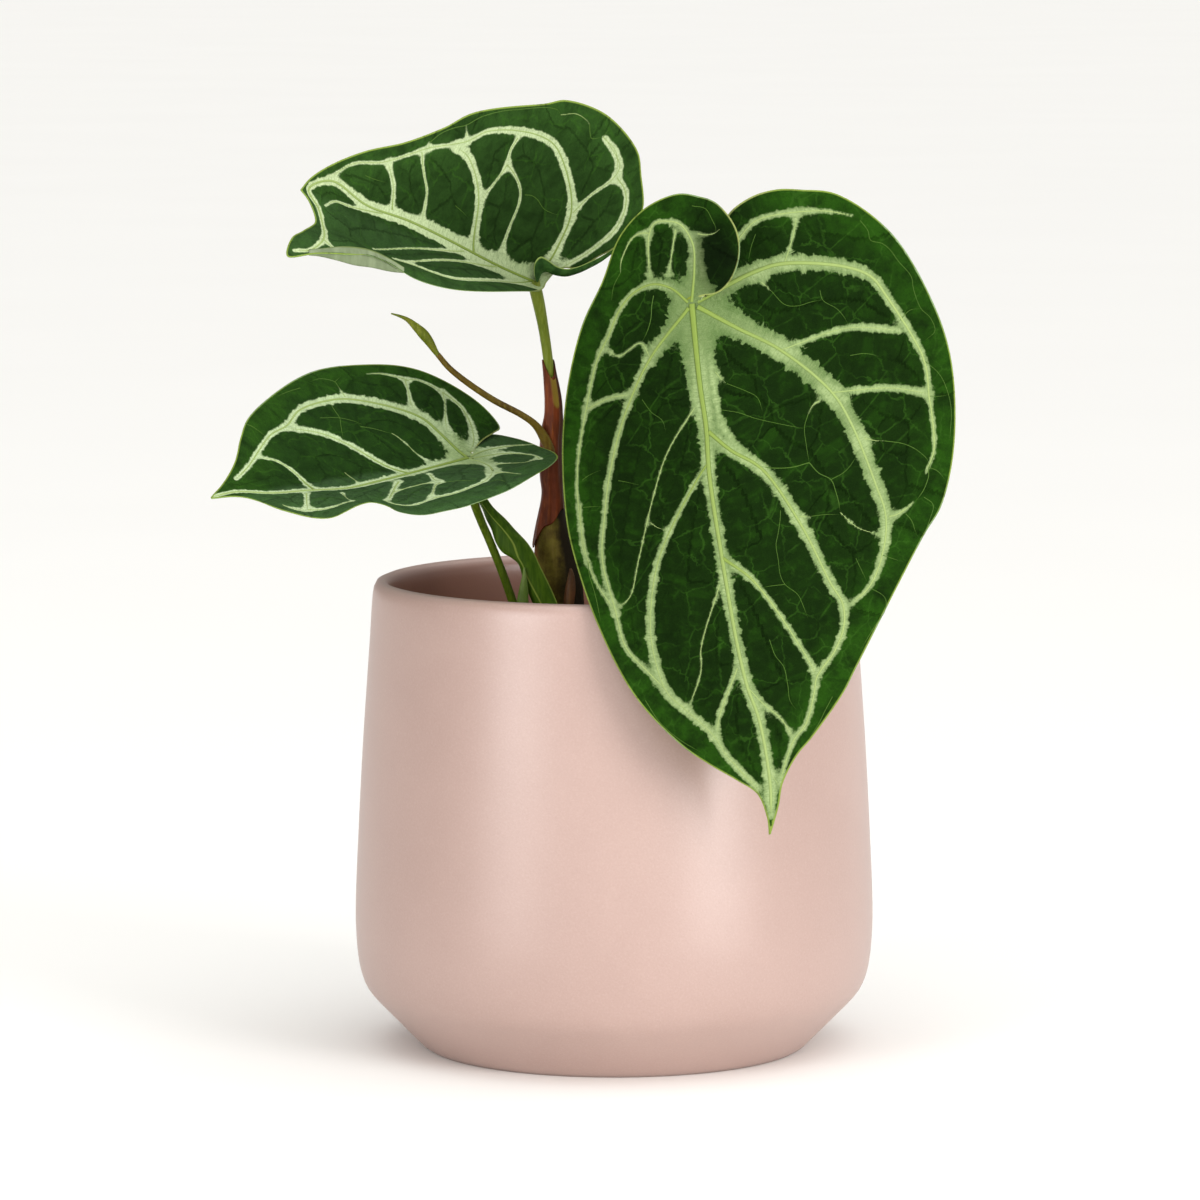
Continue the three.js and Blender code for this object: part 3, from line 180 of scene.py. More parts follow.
TOP = {
    "at": [-23, -4, 221.9], "tip": [-78, -50, 36], "face": [62, -63, 46.5],
    "stations": [-30, -10, 10, 30, 50, 70, 90], "spine": [6, 2, 0, 0, 0, 0, 0],
    "slope": [[0.84, 0.84, 0.84, 0.84, 0.8, 0.7, 0.6], [1.6, 1.5, 1.35, 0.95, 0.62, 0.55, 0.1]],
    "bow": [[0, 0, 0, 0, 0, 0, 0], [0, 0, 0, 0, 0, 0, 0]],
    "swells": [[-1, -12, 60, 6, 15, -3.5], [1, 6, -9, 4, 6, 3]], "cup_shade": [1, 0, 0, 1, 1], "fine": 0.62,
    "sinus": -88, "lap": [0, 0], "part": [1, 1],
    "plus": [[0.3, -3.5], [4, -6], [5, -10.5], [10.5, -17], [13.5, -20.5], [19, -23], [23.5, -24],
             [31, -19.5], [36, -15.5], [41.5, -2.5], [41.5, 11.5], [39, 17.5], [31, 38], [25.5, 45],
             [19.5, 54.5], [14.5, 65], [8.8, 73.5], [3.5, 79], [-2, 82.5]],
    "minus": [[0.3, -3.5], [-1.5, -2.8], [-4, -0.5], [-8, 4], [-14, 11], [-19, 18.5], [-23, 26.5],
              [-26, 35], [-27, 42.5], [-25.5, 52], [-22, 58.5], [-22, 64.5], [-24.5, 73], [-26, 81.5],
              [-28, 88.5], [-21, 87], [-17.5, 83.5], [-11.5, 78.5], [-4.5, 80], [-2, 82.5]],
    "pitch": 0.55,
    "veins": [
        ["M", 1, [3, 2.6, 1.2, 0.8], [[-0.5, 0.5], [2.5, 43.5], [2, 59.5], [4.5, 72.5], [-0.5, 79.5],
         [-6, 76.5], [-12, 76], [-19, 78], [-24.5, 82.5], [-25.5, 86.5]]],
        ["A", 1, [1.5, 1.3, 0.6, 0.5], [[1, 0], [7, -3], [18.5, -4], [30.5, 7.5], [32, 15], [28.5, 31],
         [24.5, 36.5], [20, 47], [13.5, 58.5], [10.5, 67.5], [5.5, 73]]],
        ["A", 1, [1.9, 1.4, 1.2, 1.4], [[1.5, 21.5], [14.5, 26], [21.5, 34], [22.5, 39]]],
        ["A", 1, [0.9, 0.8, 0.8, 0.9], [[3.5, 51], [9, 53], [13.5, 57]]],
        ["B", 1, [0.6, 0.5, 0.9, 0.5], [[18.5, -4.5], [23.5, -7.5], [28.5, -12], [31.5, -12.5],
         [36.5, -5]]],
        ["B", 1, [0.7, 1, 0.8, 0.5], [[29, -13], [26.5, -17], [22.5, -19], [17.5, -18.5], [12, -14.5],
         [5, -7], [1, -1]]],
        ["B", -1, [1, 0.6, 0.5, 0.5], [[1.5, 54], [-0.5, 65], [-1, 70.5], [-4, 74]]],
        ["B", -1, [0.9, 0.6, 0.4, 0.4], [[0.5, 25], [-5, 39], [-12.5, 58]]],
        ["B", -1, [1.4, 0.7, 0.6, 0.5], [[0, 13], [-4, 25.5], [-14.5, 48]]],
        ["A", -1, [1.2, 1.2, 1, 0.9], [[-0.5, 1], [-19, 36.5], [-18, 43], [-15.5, 48.5], [-15, 52.5]]],
        ["B", -1, [0.7, 0.7, 0.6, 0.6], [[-19, 78], [-22.5, 76], [-23.5, 73.5]]],
        ["C", 1, [0.55, 0.45, 0.5, 0.8], [[18.7, 48.4], [15.9, 46.6], [13.1, 44.2], [11, 42.4],
         [7.9, 41.4], [3.7, 40.7]]],
        ["C", 1, [0.7, 0.5, 0.5, 0.6], [[29.6, 21.4], [26.4, 22.1], [23.3, 21.1]]],
        ["C", 1, [0.55, 0.5, 0.5, 0.9], [[23.3, 21.1], [20.5, 22.1], [17.7, 23.2], [14.2, 24.6]]],
        ["C", 1, [0.5, 0.5, 0.5, 0.7], [[23.3, 21.1], [21.9, 17.6], [19.4, 14.1], [16.3, 12.7],
         [12.8, 12.7], [8.6, 12.7], [4.4, 12.3]]],
        ["C", 1, [0.5, 0.2, 0.2, 0.2], [[25.7, 37.2], [26.8, 37.9], [27.8, 38.6]]],
        ["C", 1, [0.4, 0.2, 0.1, 0.1], [[20.1, 46.6], [20.5, 47], [21.2, 47.3]]],
        ["D", 1, [0.15], [[21.2, 47.3], [24, 45.2], [26.4, 41.7], [27.8, 38.6], [30.6, 35.4],
         [33.4, 30.2], [35.5, 24.6], [38.3, 16.5], [38.7, 12.7], [38, 11.3]]],
        ["C", 1, [0.12, 0.1, 0.1, 0.12], [[38, 11.3], [39.4, 7.1], [39, 3.2], [38.3, 1.5]]],
        ["D", 1, [0.15], [[38.3, 1.5], [36.2, 0.1], [35.5, -0.6], [36.6, -4.1]]],
        ["D", 1, [0.12], [[36.6, -4.1], [39, -4.8]]],
        ["C", 1, [0.2, 0.5, 0.55, 0.7], [[36.6, -4.1], [35.9, -6.2], [34.8, -9], [32.7, -11.1],
         [30.3, -12.2], [28.5, -13.6]]],
        ["D", 1, [0.12], [[18.7, 12], [19.1, 9.9], [18.7, 7.8], [17.3, 5], [17, 2.5], [17, -0.3]]],
        ["D", 1, [0.1], [[10.3, 32.3], [9.6, 29.1], [8.9, 26.7]]],
        ["D", 1, [0.1], [[8.9, 62.7], [8.9, 59.2], [9.3, 55.4]]],
    ]}
LEFT = {
    "at": [-41.7, -20, 172.8], "tip": [-81, -59, -7], "face": [5, -42, 90],
    "stations": [-30, 0, 15, 35, 50, 58, 68, 90], "spine": [0, 0, 0, 0, 0, 0, 0, -1],
    "slope": [[0.4, 0.45, 0.45, 0.45, 0.45, 0.45, 0.42, 0.4],
              [0.5, 0.42, 0.28, 0.15, 0.21, 0.2, 0.05, 0]],
    "bow": [[-0.2, -0.2, -0.2, -0.2, -0.2, -0.2, -0.2, 0], [0, 0, 0, 0, 0, 0, 0, 0]], "swells": [],
    "cup_shade": [1, 0, 0, 1, 1], "fine": 0.75, "sinus": -54, "lap": [8, 6], "part": [-0.5, 1],
    "plus": [[2.2, -2.6], [6.6, -9.6], [8.6, -14.6], [10.2, -17.8], [20, -16.5], [32, -7.5], [37, 1.5],
             [40, 23.5], [37.5, 36.5], [26, 59.5], [20, 65.5], [12, 72], [5.5, 79.5], [0.5, 87]],
    "minus": [[2.2, -2.6], [7, -8], [11, -12], [12, -16.5], [8, -20.5], [1, -24], [-4, -25.5],
              [-14.5, -20.5], [-31, -4], [-36, 8], [-36, 25], [-34.5, 33], [-34.5, 43], [-32, 46],
              [-25, 46], [-22, 48.5], [-25.5, 59.5], [-25, 63.5], [-14, 71.5], [-2.5, 78], [0.5, 87]],
    "pitch": 0.55,
    "veins": [
        ["M", 1, [2.4, 1.8, 1.3, 0.8], [[0, 0], [-4, 23], [-6, 36], [-7.5, 47.5], [-5, 58], [-3, 68.5],
         [1, 77.5], [1, 86]]],
        ["A", 1, [2.6, 2, 1.2, 0.8], [[0.5, 0], [10.5, 2.5], [18, 6], [27.5, 24], [28, 33.5], [26, 42.5],
         [21.5, 49], [19, 56], [9.5, 69], [6, 75]]],
        ["A", 1, [1.6, 1.3, 1.3, 1.4], [[-4, 23], [11.5, 33.5], [17, 40], [20.5, 49]]],
        ["A", 1, [1.5, 1, 0.6, 0.6], [[-5, 56], [4, 56], [9.5, 59], [12, 63.5]]],
        ["C", 1, [0.5, 0.2, 0.1, 0.1], [[28.6, 25.1], [31.2, 25.2], [32.6, 25]]],
        ["D", 1, [0.12], [[32.6, 25], [34.5, 25.2], [36, 29.4], [35.4, 33.2]]],
        ["D", 1, [0.1], [[34.5, 25.2], [36.1, 22]]],
        ["D", 1, [0.12], [[26.6, 31.1], [23.3, 31.4], [21, 31.6], [18.8, 32.5], [13.9, 34.3]]],
        ["D", 1, [0.1], [[22.2, 37.6], [21, 31.6], [18.8, 27.5], [17.6, 26.2]]],
        ["D", 1, [0.12], [[24.2, 61.6], [21.9, 59.6], [18.9, 57.7]]],
        ["D", 1, [0.12], [[33.7, 37.7], [33, 42.1], [31.9, 46.5]]],
        ["C", 1, [0.7, 0.6, 0.4, 0.2], [[31.5, 1.9], [33.3, 5.1], [35.1, 9.4], [35.7, 13.5]]],
        ["B", 1, [0.7, 0.6, 0.9, 1.6], [[31.3, 2.7], [27.5, 4], [23.1, 5.7], [19.9, 6.1]]],
        ["B", 1, [0.5, 0.6, 0.8, 0.7], [[31.3, 2.7], [31.2, -0.8], [28.7, -4.2], [25.5, -6.9]]],
        ["B", 1, [0.9, 0.9, 1.5, 1.5], [[25.5, -6.9], [23.5, -8.1], [20, -9.6], [15.3, -9.7],
         [11.2, -8.7], [6.9, -6.6], [3.2, -3]]],
        ["C", 1, [0.5, 0.3, 0.6, 1.4], [[25.1, -6.8], [20.5, -4.7], [15.3, -1.7], [10.9, 0.1]]],
        ["D", 1, [0.12], [[16.9, 27], [15.4, 22.8], [13.5, 17.9]]],
        ["C", 1, [0.1, 0.3, 0.2, 0.5], [[13.5, 17.9], [11.2, 16.7], [8.3, 15.5], [5.6, 14.9],
         [1.8, 13.3]]],
        ["C", 1, [0.1, 0.2, 0.2, 0.5], [[1.5, 41.3], [-3.4, 41], [-6.3, 41.3]]],
        ["C", -1, [0.2, 0.6, 1, 0.9], [[-10.7, 70], [-12.9, 68.9], [-15.1, 67.1], [-16.2, 65.3]]],
        ["C", -1, [0.9, 0.8, 0.5, 0.2], [[-16.2, 65.3], [-18.7, 62.4], [-19.8, 58.9], [-19.1, 55],
         [-18.7, 51.5]]],
        ["B", -1, [1.1, 0.9, 0.9, 1.2], [[-7, 59.8], [-12.5, 63.3], [-16.2, 65.3]]],
        ["C", -1, [0.8, 0.4, 0.2, 0.2], [[-11.4, 50.7], [-15.8, 52.3], [-18, 52.6]]],
        ["B", -1, [0.5, 0.6, 0.7, 0.7], [[-20.5, 42.7], [-24.1, 41.8], [-25.9, 38.5], [-25.6, 34.3],
         [-24.1, 28.7]]],
        ["B", -1, [0.8, 0.9, 1.1, 1.6], [[-24.1, 28.7], [-25.1, 22.2], [-24.2, 15], [-22.3, 9.4],
         [-16.8, 3.6]]],
        ["B", -1, [1.8, 1.4, 1.2, 1.4], [[-16.8, 3.6], [-8.8, -0.6], [-2.8, -1.4], [-0.4, 1.1]]],
        ["B", -1, [1.4, 0.9, 0.8, 1], [[-8.5, 29.7], [-11.4, 32.8], [-14.7, 35.8], [-20.2, 41.3]]],
        ["C", -1, [0.5, 0.35, 0.3, 0.6], [[-14.7, 35.5], [-13.9, 29.5], [-13.6, 24.2], [-14.3, 20.6]]],
        ["B", -1, [0.9, 0.8, 1.3, 0.6], [[-7.7, 18.4], [-11.4, 19.7], [-14.6, 19.9]]],
        ["B", -1, [1, 0.5, 0.5, 0.9], [[-14.6, 19.9], [-16.4, 22.7], [-20.1, 26], [-23, 28.7]]],
        ["D", -1, [0.12], [[-15.3, 19.9], [-16, 17.7], [-19.2, 14.6], [-21, 12.4]]],
        ["C", -1, [1, 0.5, 0.4, 0.6], [[-8.9, -3.2], [-12.2, -5.7], [-15, -8.8], [-11.7, -15.4]]],
        ["B", -1, [1.4, 1, 0.7, 0.6], [[-0.4, 0.4], [-0.6, -3.9], [-0.7, -10.7], [-2.8, -16.2],
         [-6.6, -18.1], [-14.7, -14.6]]],
        ["B", -1, [1.6, 1, 0.6, 0.3], [[0.3, -1], [2.2, -7.4], [2.6, -13], [2.3, -18], [1.2, -23.5]]],
        ["C", -1, [0.9, 0.4, 0.3, 0.2], [[-19.3, 4.8], [-22, 3.5], [-25.5, 3.3], [-28.7, 3]]],
        ["D", -1, [0.12], [[-30.7, 9.5], [-26.1, 9.1], [-24.8, 11]]],
    ]}
ROOT_SOFTNESS = 6.0
LOBE_REACH = 10.0
LOBE_SPREAD = 35.0
VEIN_STEP = 0.8
# How softly neighbouring bands run together: everywhere, and more than that near the petiole.
BAND_SOFTNESS, ROOT_BLUR, ROOT_REACH = 0.7, 1.6, 17
# How far a cell rises between the bands and over what distance, how deep the bands and the fine
# veins sink, how far the under face follows a cell, how thick the blade is and how deep its ribs
# are below, and the share of the thickness left at the margin.
CELL_RISE, CELL_REACH = 0.75, 4.5
BAND_SINK = 0.3
UNDER_RISE = 0.35
THICKNESS, RIB_DEPTH = 0.75, 0.8
MARGIN_SHARE = 0.35
# A ridge by the rank of its vein: its half width as a share of the band's and the fixed part
# added to that, how much of it fades out towards the end, its tone at the start and the rise.
RIDGES = {"M": (0, 0.95, 0.55, 0, 0.5), "A": (0.32, 0.1, 0.75, 0.1, 0.7),
          "B": (0.18, 0.05, 0.4, 0.55, 0.2), "C": (0.1, 0.1, 0.3, 0.65, 0.1),
          "D": (1, 0, 0.2, 1, 0)}

# ---- turned margins of the top blade ---------------------------------------------------------
# [upper line point, lower line point] at each station.
TOP_CURL = [
    [[-22.5, -7.4, 222.1], [-21.8, -7.2, 221.7]], [[-23, -5.7, 224.9], [-21.3, -5.6, 222.9]],
    [[-22.7, -5.1, 227.4], [-20.7, -4.7, 224]], [[-21.1, -4.2, 228.9], [-19.6, -4, 224.5]],
    [[-19, -3.5, 227.9], [-18.1, -3.7, 223.9]], [[-16.7, -3.2, 226.2], [-16.1, -3.5, 223.3]],
    [[-13.8, -2.8, 225.3], [-13.6, -2.9, 223.1]], [[-10.7, -1.9, 225.8], [-10.4, -1.9, 223.9]],
    [[-7.3, 0.8, 227], [-7, 0.6, 225.3]], [[-3.8, 3.4, 228.5], [-3.5, 3.1, 227.1]],
    [[-0.1, 4.9, 230.7], [0.1, 4.9, 229.7]]]
TOP_LIP = [
    [[-84.6, -63.5, 234.6], [-84.6, -64.4, 232.9]], [[-81.1, -62.6, 234.8], [-81.6, -63.2, 232.5]],
    [[-76.1, -60.5, 235.2], [-77.2, -62, 231.4]], [[-71.3, -58, 234.8], [-72.3, -59.8, 229.9]],
    [[-67, -53.4, 233.5], [-67.5, -55.2, 228.9]], [[-62.6, -50.9, 231.2], [-62.6, -51.7, 227.6]],
    [[-58.7, -51, 228.8], [-58.7, -51.8, 227.2]]]
MARGIN_BULGE = 0.7  # how far the section between the lines stands forward
MARGIN_WALL = 0.4

# ---- stems and sheaths -----------------------------------------------------------------------
# A bar is [x, y, z, half width, half depth] at each station.
STEM = [
    [-14.5, 3, 100, 6.6, 6.6], [-14.9, 3, 113, 7.3, 7], [-15.8, 2.9, 128, 7.2, 6.5],
    [-16.3, 2.7, 135, 7, 6.1], [-16.9, 2.4, 141.5, 6.3, 5.5], [-17.3, 2, 146, 5.6, 5],
    [-17.4, 1.6, 149.5, 4.8, 4.4], [-17.6, 1.2, 153.5, 3.8, 3.7], [-17.7, 0.9, 158, 3, 3]]
SHEATH_UPPER = [
    [-17.3, 2.2, 143, 6.4, 5.7], [-17.4, 1.9, 146.5, 5.8, 5.2], [-17.6, 1.4, 150.5, 4.9, 4.6],
    [-17.7, 1.1, 154, 4.1, 4], [-17.6, 0.9, 158, 3.4, 3.4], [-17.6, 0.8, 161, 3.15, 3.2],
    [-17.9, 0.6, 165, 3.35, 3.3], [-18.1, 0.3, 170, 3.25, 3.2], [-18.1, 0, 175.5, 3.15, 3.1],
    [-17.7, -0.1, 179.8, 3, 2.9], [-17.4, -0.2, 183, 2.6, 2.6], [-17.5, -0.3, 187.5, 2.35, 2.35],
    [-18, -0.4, 192, 2.05, 2.1], [-18.5, -0.5, 195.5, 1.75, 1.8], [-19, -0.6, 199.4, 1.5, 1.55]]
PETIOLE_TOP = [
    [-18.1, -0.4, 187, 1.3, 1.3], [-18.8, -0.6, 197, 1.4, 1.4], [-20.3, -1.6, 208, 1.5, 1.5],
    [-22, -3.2, 217, 1.8, 1.8], [-23.2, -4.4, 222, 1.8, 1.8]]
PETIOLE_LEFT = [
    [-25, -5.5, 98, 1.6, 1.6], [-26.6, -5.7, 114, 1.5, 1.5], [-28.2, -5.9, 126, 1.35, 1.35],
    [-30, -6.8, 132, 1.25, 1.25], [-32.8, -7.8, 140, 1.2, 1.2], [-35.8, -9, 147.7, 1.2, 1.2],
    [-38.2, -11, 153.6, 1.2, 1.2], [-40.1, -14, 159.4, 1.3, 1.3], [-41.3, -17.6, 167.5, 1.5, 1.5],
    [-41.7, -19.8, 172.3, 1.6, 1.6]]
PETIOLE_FRONT = [
    [-4.6, 2, 98, 2.1, 2.1], [-4, 2, 120, 2, 2], [-2.5, 0, 145, 1.9, 1.9], [2, -7, 175, 1.8, 1.8],
    [8, -22, 202, 1.7, 1.7], [14.5, -43, 219, 1.7, 1.7], [19, -60, 223.5, 1.8, 1.8],
    [21, -70, 222.3, 2, 2], [21.3, -76.2, 220.5, 2, 2]]
SLIVER_SHEATH = [
    [-22.8, -12.3, 100, 1.6, 1.1], [-25, -12.3, 114, 1.9, 1.2], [-26.3, -12.2, 128.5, 1.8, 1.1],
    [-26, -12.1, 134, 1.3, 0.8], [-25.8, -12, 138, 0.6, 0.5], [-25.8, -12, 140.2, 0.25, 0.2]]
BASE_BRACT = [
    [-12.6, -6.4, 102, 1.6, 1.1], [-13, -6.2, 118, 1.8, 1.2], [-13.2, -6, 128, 1.6, 1.1],
    [-12.6, -5.8, 133.5, 1.5, 1], [-12.4, -5.4, 137.6, 0.8, 0.6], [-12.6, -5.2, 139.2, 0.3, 0.3]]
YOUNG_STALK = [
    [-17.5, -3.1, 170, 0.8, 0.6], [-18.3, -3.4, 172.8, 1.3, 0.9], [-19.6, -3.8, 175.7, 1.5, 1],
    [-21.2, -4.1, 178.7, 1.3, 0.9], [-23.2, -4.4, 181.1, 1.05, 0.9], [-26.6, -4.6, 183.5, 0.95, 0.9],
    [-35, -5, 188, 0.95, 0.9], [-43.8, -5.7, 194.1, 0.9, 0.85], [-47.6, -6, 197.4, 0.85, 0.8],
    [-50.6, -6.3, 201, 0.8, 0.75]]
YOUNG_LEAF = [
    [-50, -6.3, 200.2, 0.6, 0.6], [-51.2, -6.4, 201.8, 0.85, 0.8], [-53, -6.5, 204.7, 1.3, 1.1],
    [-54.7, -6.7, 206.9, 1.5, 1.2], [-56.8, -6.9, 209, 1.15, 0.95], [-59.3, -7, 211.1, 0.65, 0.6],
    [-61.8, -7.1, 212.2, 0.38, 0.35], [-63.9, -7.2, 212.8, 0.2, 0.2]]
DRY_WALL = 0.26
# The folded sheath is [left x, fold x, right x, y, z] at each station.
STRAP_SHEATH = [
    [-19.2, -17.2, -12.6, -10.8, 98], [-20.2, -18.2, -13.4, -10.6, 112],
    [-21.8, -19.5, -14.9, -10.3, 125.8], [-23.4, -21, -16.3, -10.2, 129.6],
    [-25, -23, -17.9, -10.1, 133.4], [-26.2, -24.8, -19.5, -10, 136.8], [-27.6, -26.5, -21.6, -9.8, 141],
    [-29.5, -27.5, -22.3, -9.7, 142.7], [-32.2, -28.1, -23.2, -9.5, 144.4], [-34, -29, -25, -9.3, 147.1],
    [-35.3, -31.8, -28.6, -8.8, 150.9], [-36.8, -34.5, -31.2, -8.3, 153.8],
    [-38.1, -37.1, -34.6, -7.8, 157], [-40.6, -39.6, -37.4, -7.6, 161]]
STRAP_FOLD = 1.5  # how far the fold stands forward
STRAP_WALL = 0.8

# ---- pot and mix -----------------------------------------------------------------------------
# Radius and height: from the foot up the outside, over the rim and down the inside.
POT_WALL = [
    [0, 0], [54.6, 0], [55.4, 0.25], [56, 0.8], [58.2, 3], [62, 6.9], [66, 11], [69.2, 14.3],
    [70.6, 15.9], [71.8, 17.6], [73, 20.3], [73.9, 23.8], [74.5, 28], [74.85, 33], [75, 38], [74.85, 46],
    [74.3, 58], [73.6, 72], [72.7, 88], [71.6, 104], [70.6, 118], [69.9, 129], [69.6, 132],
    [69.1, 134.3], [68.1, 135.6], [66.9, 135.9], [65.8, 135.4], [65, 133.9], [64.7, 131], [65.3, 122],
    [66.2, 111], [67.6, 89], [69.4, 55], [69.6, 36], [68.2, 24], [64, 16], [54, 7], [0, 7]]
POT_FLOOR = 7
# The foot and wall of the mix, a little inside the pot's.
MIX_WALL = [[53.6, 7.4], [63.6, 16.3], [67.8, 24.2], [69.2, 36], [69, 55], [67.2, 89], [66, 105]]
MIX_LEVEL = 113.0
# Where stems come out of the mix: x, y, and the radius kept clear of loose lumps.
STEM_FEET = [[-15, 3, 10], [-4, 2, 5], [-25, -6, 5], [-19, -11, 6]]


# ---- curves ----------------------------------------------------------------------------------
def bridge(t, start, end, leave, arrive):
    """Cubic from start to end while t goes from 0 to 1, that leaves and arrives at these rates."""
    return ((2 * t**3 - 3 * t**2 + 1) * start + (t**3 - 2 * t**2 + t) * leave
            + (3 * t**2 - 2 * t**3) * end + (t**3 - t**2) * arrive)


def even_curve(points, step=None, count=None):
    """Centripetal Catmull-Rom curve through the points, cut into equal steps of arc length."""
    p = np.asarray(points, float)
    p = np.vstack([2 * p[0] - p[1], p, 2 * p[-1] - p[-2]])
    d = np.maximum(np.sqrt(np.linalg.norm(np.diff(p[:, :3], axis=0), axis=1)), 1e-4)[:, None]
    out = (p[1:] - p[:-1]) / d
    turn = (p[2:] - p[:-2]) / (d[1:] + d[:-1])
    leave = (out[:-2] - turn[:-1] + out[1:-1]) * d[1:-1]
    arrive = (out[1:-1] - turn[1:] + out[2:]) * d[1:-1]
    t = np.linspace(0, 1, 24, endpoint=False)[None, :, None]
    curve = bridge(t, p[1:-2, None], p[2:-1, None], leave[:, None], arrive[:, None])
    curve = np.vstack([curve.reshape(-1, p.shape[1]), p[-2:-1]])
    length = np.r_[0, np.cumsum(np.linalg.norm(np.diff(curve[:, :3], axis=0), axis=1))]
    count = count or max(3, int(round(length[-1] / step)) + 1)
    places = np.linspace(0, length[-1], count)
    return np.stack([np.interp(places, length, column) for column in curve.T], 1)


def through(stations, values, x):
    """Smooth curve through values given at stations, straight on beyond both ends."""
    s, v = np.asarray(stations, float), np.asarray(values, float)
    rate = np.r_[(v[1] - v[0]) / (s[1] - s[0]), (v[2:] - v[:-2]) / (s[2:] - s[:-2]),
                 (v[-1] - v[-2]) / (s[-1] - s[-2])]
    i = np.clip(np.searchsorted(s, x) - 1, 0, len(s) - 2)
    span = s[i + 1] - s[i]
    t = np.clip((x - s[i]) / span, 0, 1)
    y = bridge(t, v[i], v[i + 1], span * rate[i], span * rate[i + 1])
    return y + np.minimum(x - s[0], 0) * rate[0] + np.maximum(x - s[-1], 0) * rate[-1]


def ramp(t):
    """Smooth step from 0 to 1 while t goes from 0 to 1."""
    t = np.clip(t, 0, 1)
    return t * t * (3 - 2 * t)


def unit(vectors):
    """Vectors of length 1 the same way, along the last axis."""
    return vectors / np.linalg.norm(vectors, axis=-1, keepdims=True)


def mound(x, y, middle_x, middle_y, width, length):
    """A bell: 1 in the middle, falling with the squares of x / width and y / length."""
    return np.exp(-((x - middle_x) / width)**2 - ((y - middle_y) / length)**2)


def nearest(line, points):
    """For each flat point: its distance to the polyline and how far along, in segments."""
    a, ab = line[:-1], np.diff(line, axis=0)
    reach = (ab**2).sum(1)
    distance, place = np.empty(len(points)), np.empty(len(points))
    for rows in np.array_split(np.arange(len(points)), len(points) * len(a) // 1500000 + 1):
        w = points[rows, None] - a
        t = np.clip((w * ab).sum(2) / reach, 0, 1)
        gap = ((w - t[..., None] * ab)**2).sum(2)
        i = gap.argmin(1)
        k = np.arange(len(rows))
        distance[rows], place[rows] = np.sqrt(gap[k, i]), i + t[k, i]
    return distance, place


def within(ring, points):
    """Which flat points lie inside the closed ring, by counting crossings."""
    a, b = ring, np.roll(ring, -1, axis=0)
    odd = np.zeros(len(points), bool)
    for rows in np.array_split(np.arange(len(points)), len(points) * len(a) // 3000000 + 1):
        x, y = points[rows, 0, None], points[rows, 1, None]
        cuts = (a[:, 1] > y) != (b[:, 1] > y)
        rise = np.where(b[:, 1] == a[:, 1], 1, b[:, 1] - a[:, 1])
        odd[rows] = (cuts & (x < a[:, 0] + (b[:, 0] - a[:, 0]) * (y - a[:, 1]) / rise)).sum(1) % 2
    return odd


# ---- meshes ----------------------------------------------------------------------------------
def link(name, data):
    """A new object with this data, in the scene."""
    made = bpy.data.objects.new(name, data)
    bpy.context.scene.collection.objects.link(made)
    return made


def add_piece(name, points, faces, finish, replaces=(), readings=None):
    """A piece from points in millimetres and arrays of faces, with its readings per point."""
    mesh = bpy.data.meshes.new(name)
    corners = np.concatenate([f.ravel() for f in faces])
    sizes = np.concatenate([np.full(len(f), f.shape[1]) for f in faces])
    mesh.vertices.add(len(points))
    mesh.vertices.foreach_set("co", (np.asarray(points) * MM).astype(np.float32).ravel())
    mesh.loops.add(len(corners))
    mesh.loops.foreach_set("vertex_index", corners.astype(np.int32))
    mesh.polygons.add(len(sizes))
    mesh.polygons.foreach_set("loop_start", np.r_[0, np.cumsum(sizes)[:-1]].astype(np.int32))
    mesh.polygons.foreach_set("loop_total", sizes.astype(np.int32))
    mesh.polygons.foreach_set("use_smooth", np.ones(len(sizes), bool))
    for label, values in (readings or {}).items():
        values = np.asarray(values, np.float32)
        kind, key = ("FLOAT_VECTOR", "vector") if values.ndim == 2 else ("FLOAT", "value")
        mesh.attributes.new(label, kind, "POINT").data.foreach_set(key, values.ravel())
    mesh.update(calc_edges=True)
    mesh.materials.append(finish)
    piece = link(name, mesh)
    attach(piece, "root")
    if replaces:
        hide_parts(*replaces)
    return piece


def grid_faces(rows, columns, closed=False):
    """Quads of a grid of points, row after row, with each row closed on itself or open."""
    i, k = np.meshgrid(np.arange(rows - 1), np.arange(columns - 1 + closed), indexing="ij")
    here, there = i * columns, (i + 1) * columns
    n = (k + 1) % columns
    return np.stack([here + k, here + n, there + n, there + k], -1).reshape(-1, 4)


def closed_tube(ring, foot, head):
    """Points and faces of rows of closed rings, with a point that closes each end."""
    rows, sides = ring.shape[:2]
    k = np.arange(sides)
    n = (k + 1) % sides
    last = (rows - 1) * sides
    foot_point = np.full(sides, rows * sides)
    caps = np.vstack([np.stack([foot_point, n, k], 1),
                      np.stack([foot_point + 1, last + k, last + n], 1)])
    return np.vstack([ring.reshape(-1, 3), foot, head]), [grid_faces(rows, sides, True), caps]


def thin_strip(front, wall):
    """Points and faces of a strip: its front rows, and the same again a wall behind."""
    ring = np.concatenate([front, front[:, ::-1] + np.array([0, wall, 0])], 1)
    return closed_tube(ring, ring[0].mean(0), ring[-1].mean(0))


def open_edges(quads):
    """Edges that belong to one quad only, in the order that the quad runs."""
    edges = np.concatenate([quads[:, [0, 1]], quads[:, [1, 2]], quads[:, [2, 3]], quads[:, [3, 0]]])
    size = quads.max() + 1
    key, twin = edges[:, 0] * size + edges[:, 1], edges[:, 1] * size + edges[:, 0]
    return edges[~np.isin(key, twin)]


def two_faced(quads, count):
    """Faces of an upper sheet, the same sheet turned over count points on, and their walls."""
    rim = open_edges(quads)
    walls = np.stack([rim[:, 1], rim[:, 0], rim[:, 0] + count, rim[:, 1] + count], 1)
    return [np.vstack([quads, quads[:, ::-1] + count, walls])]


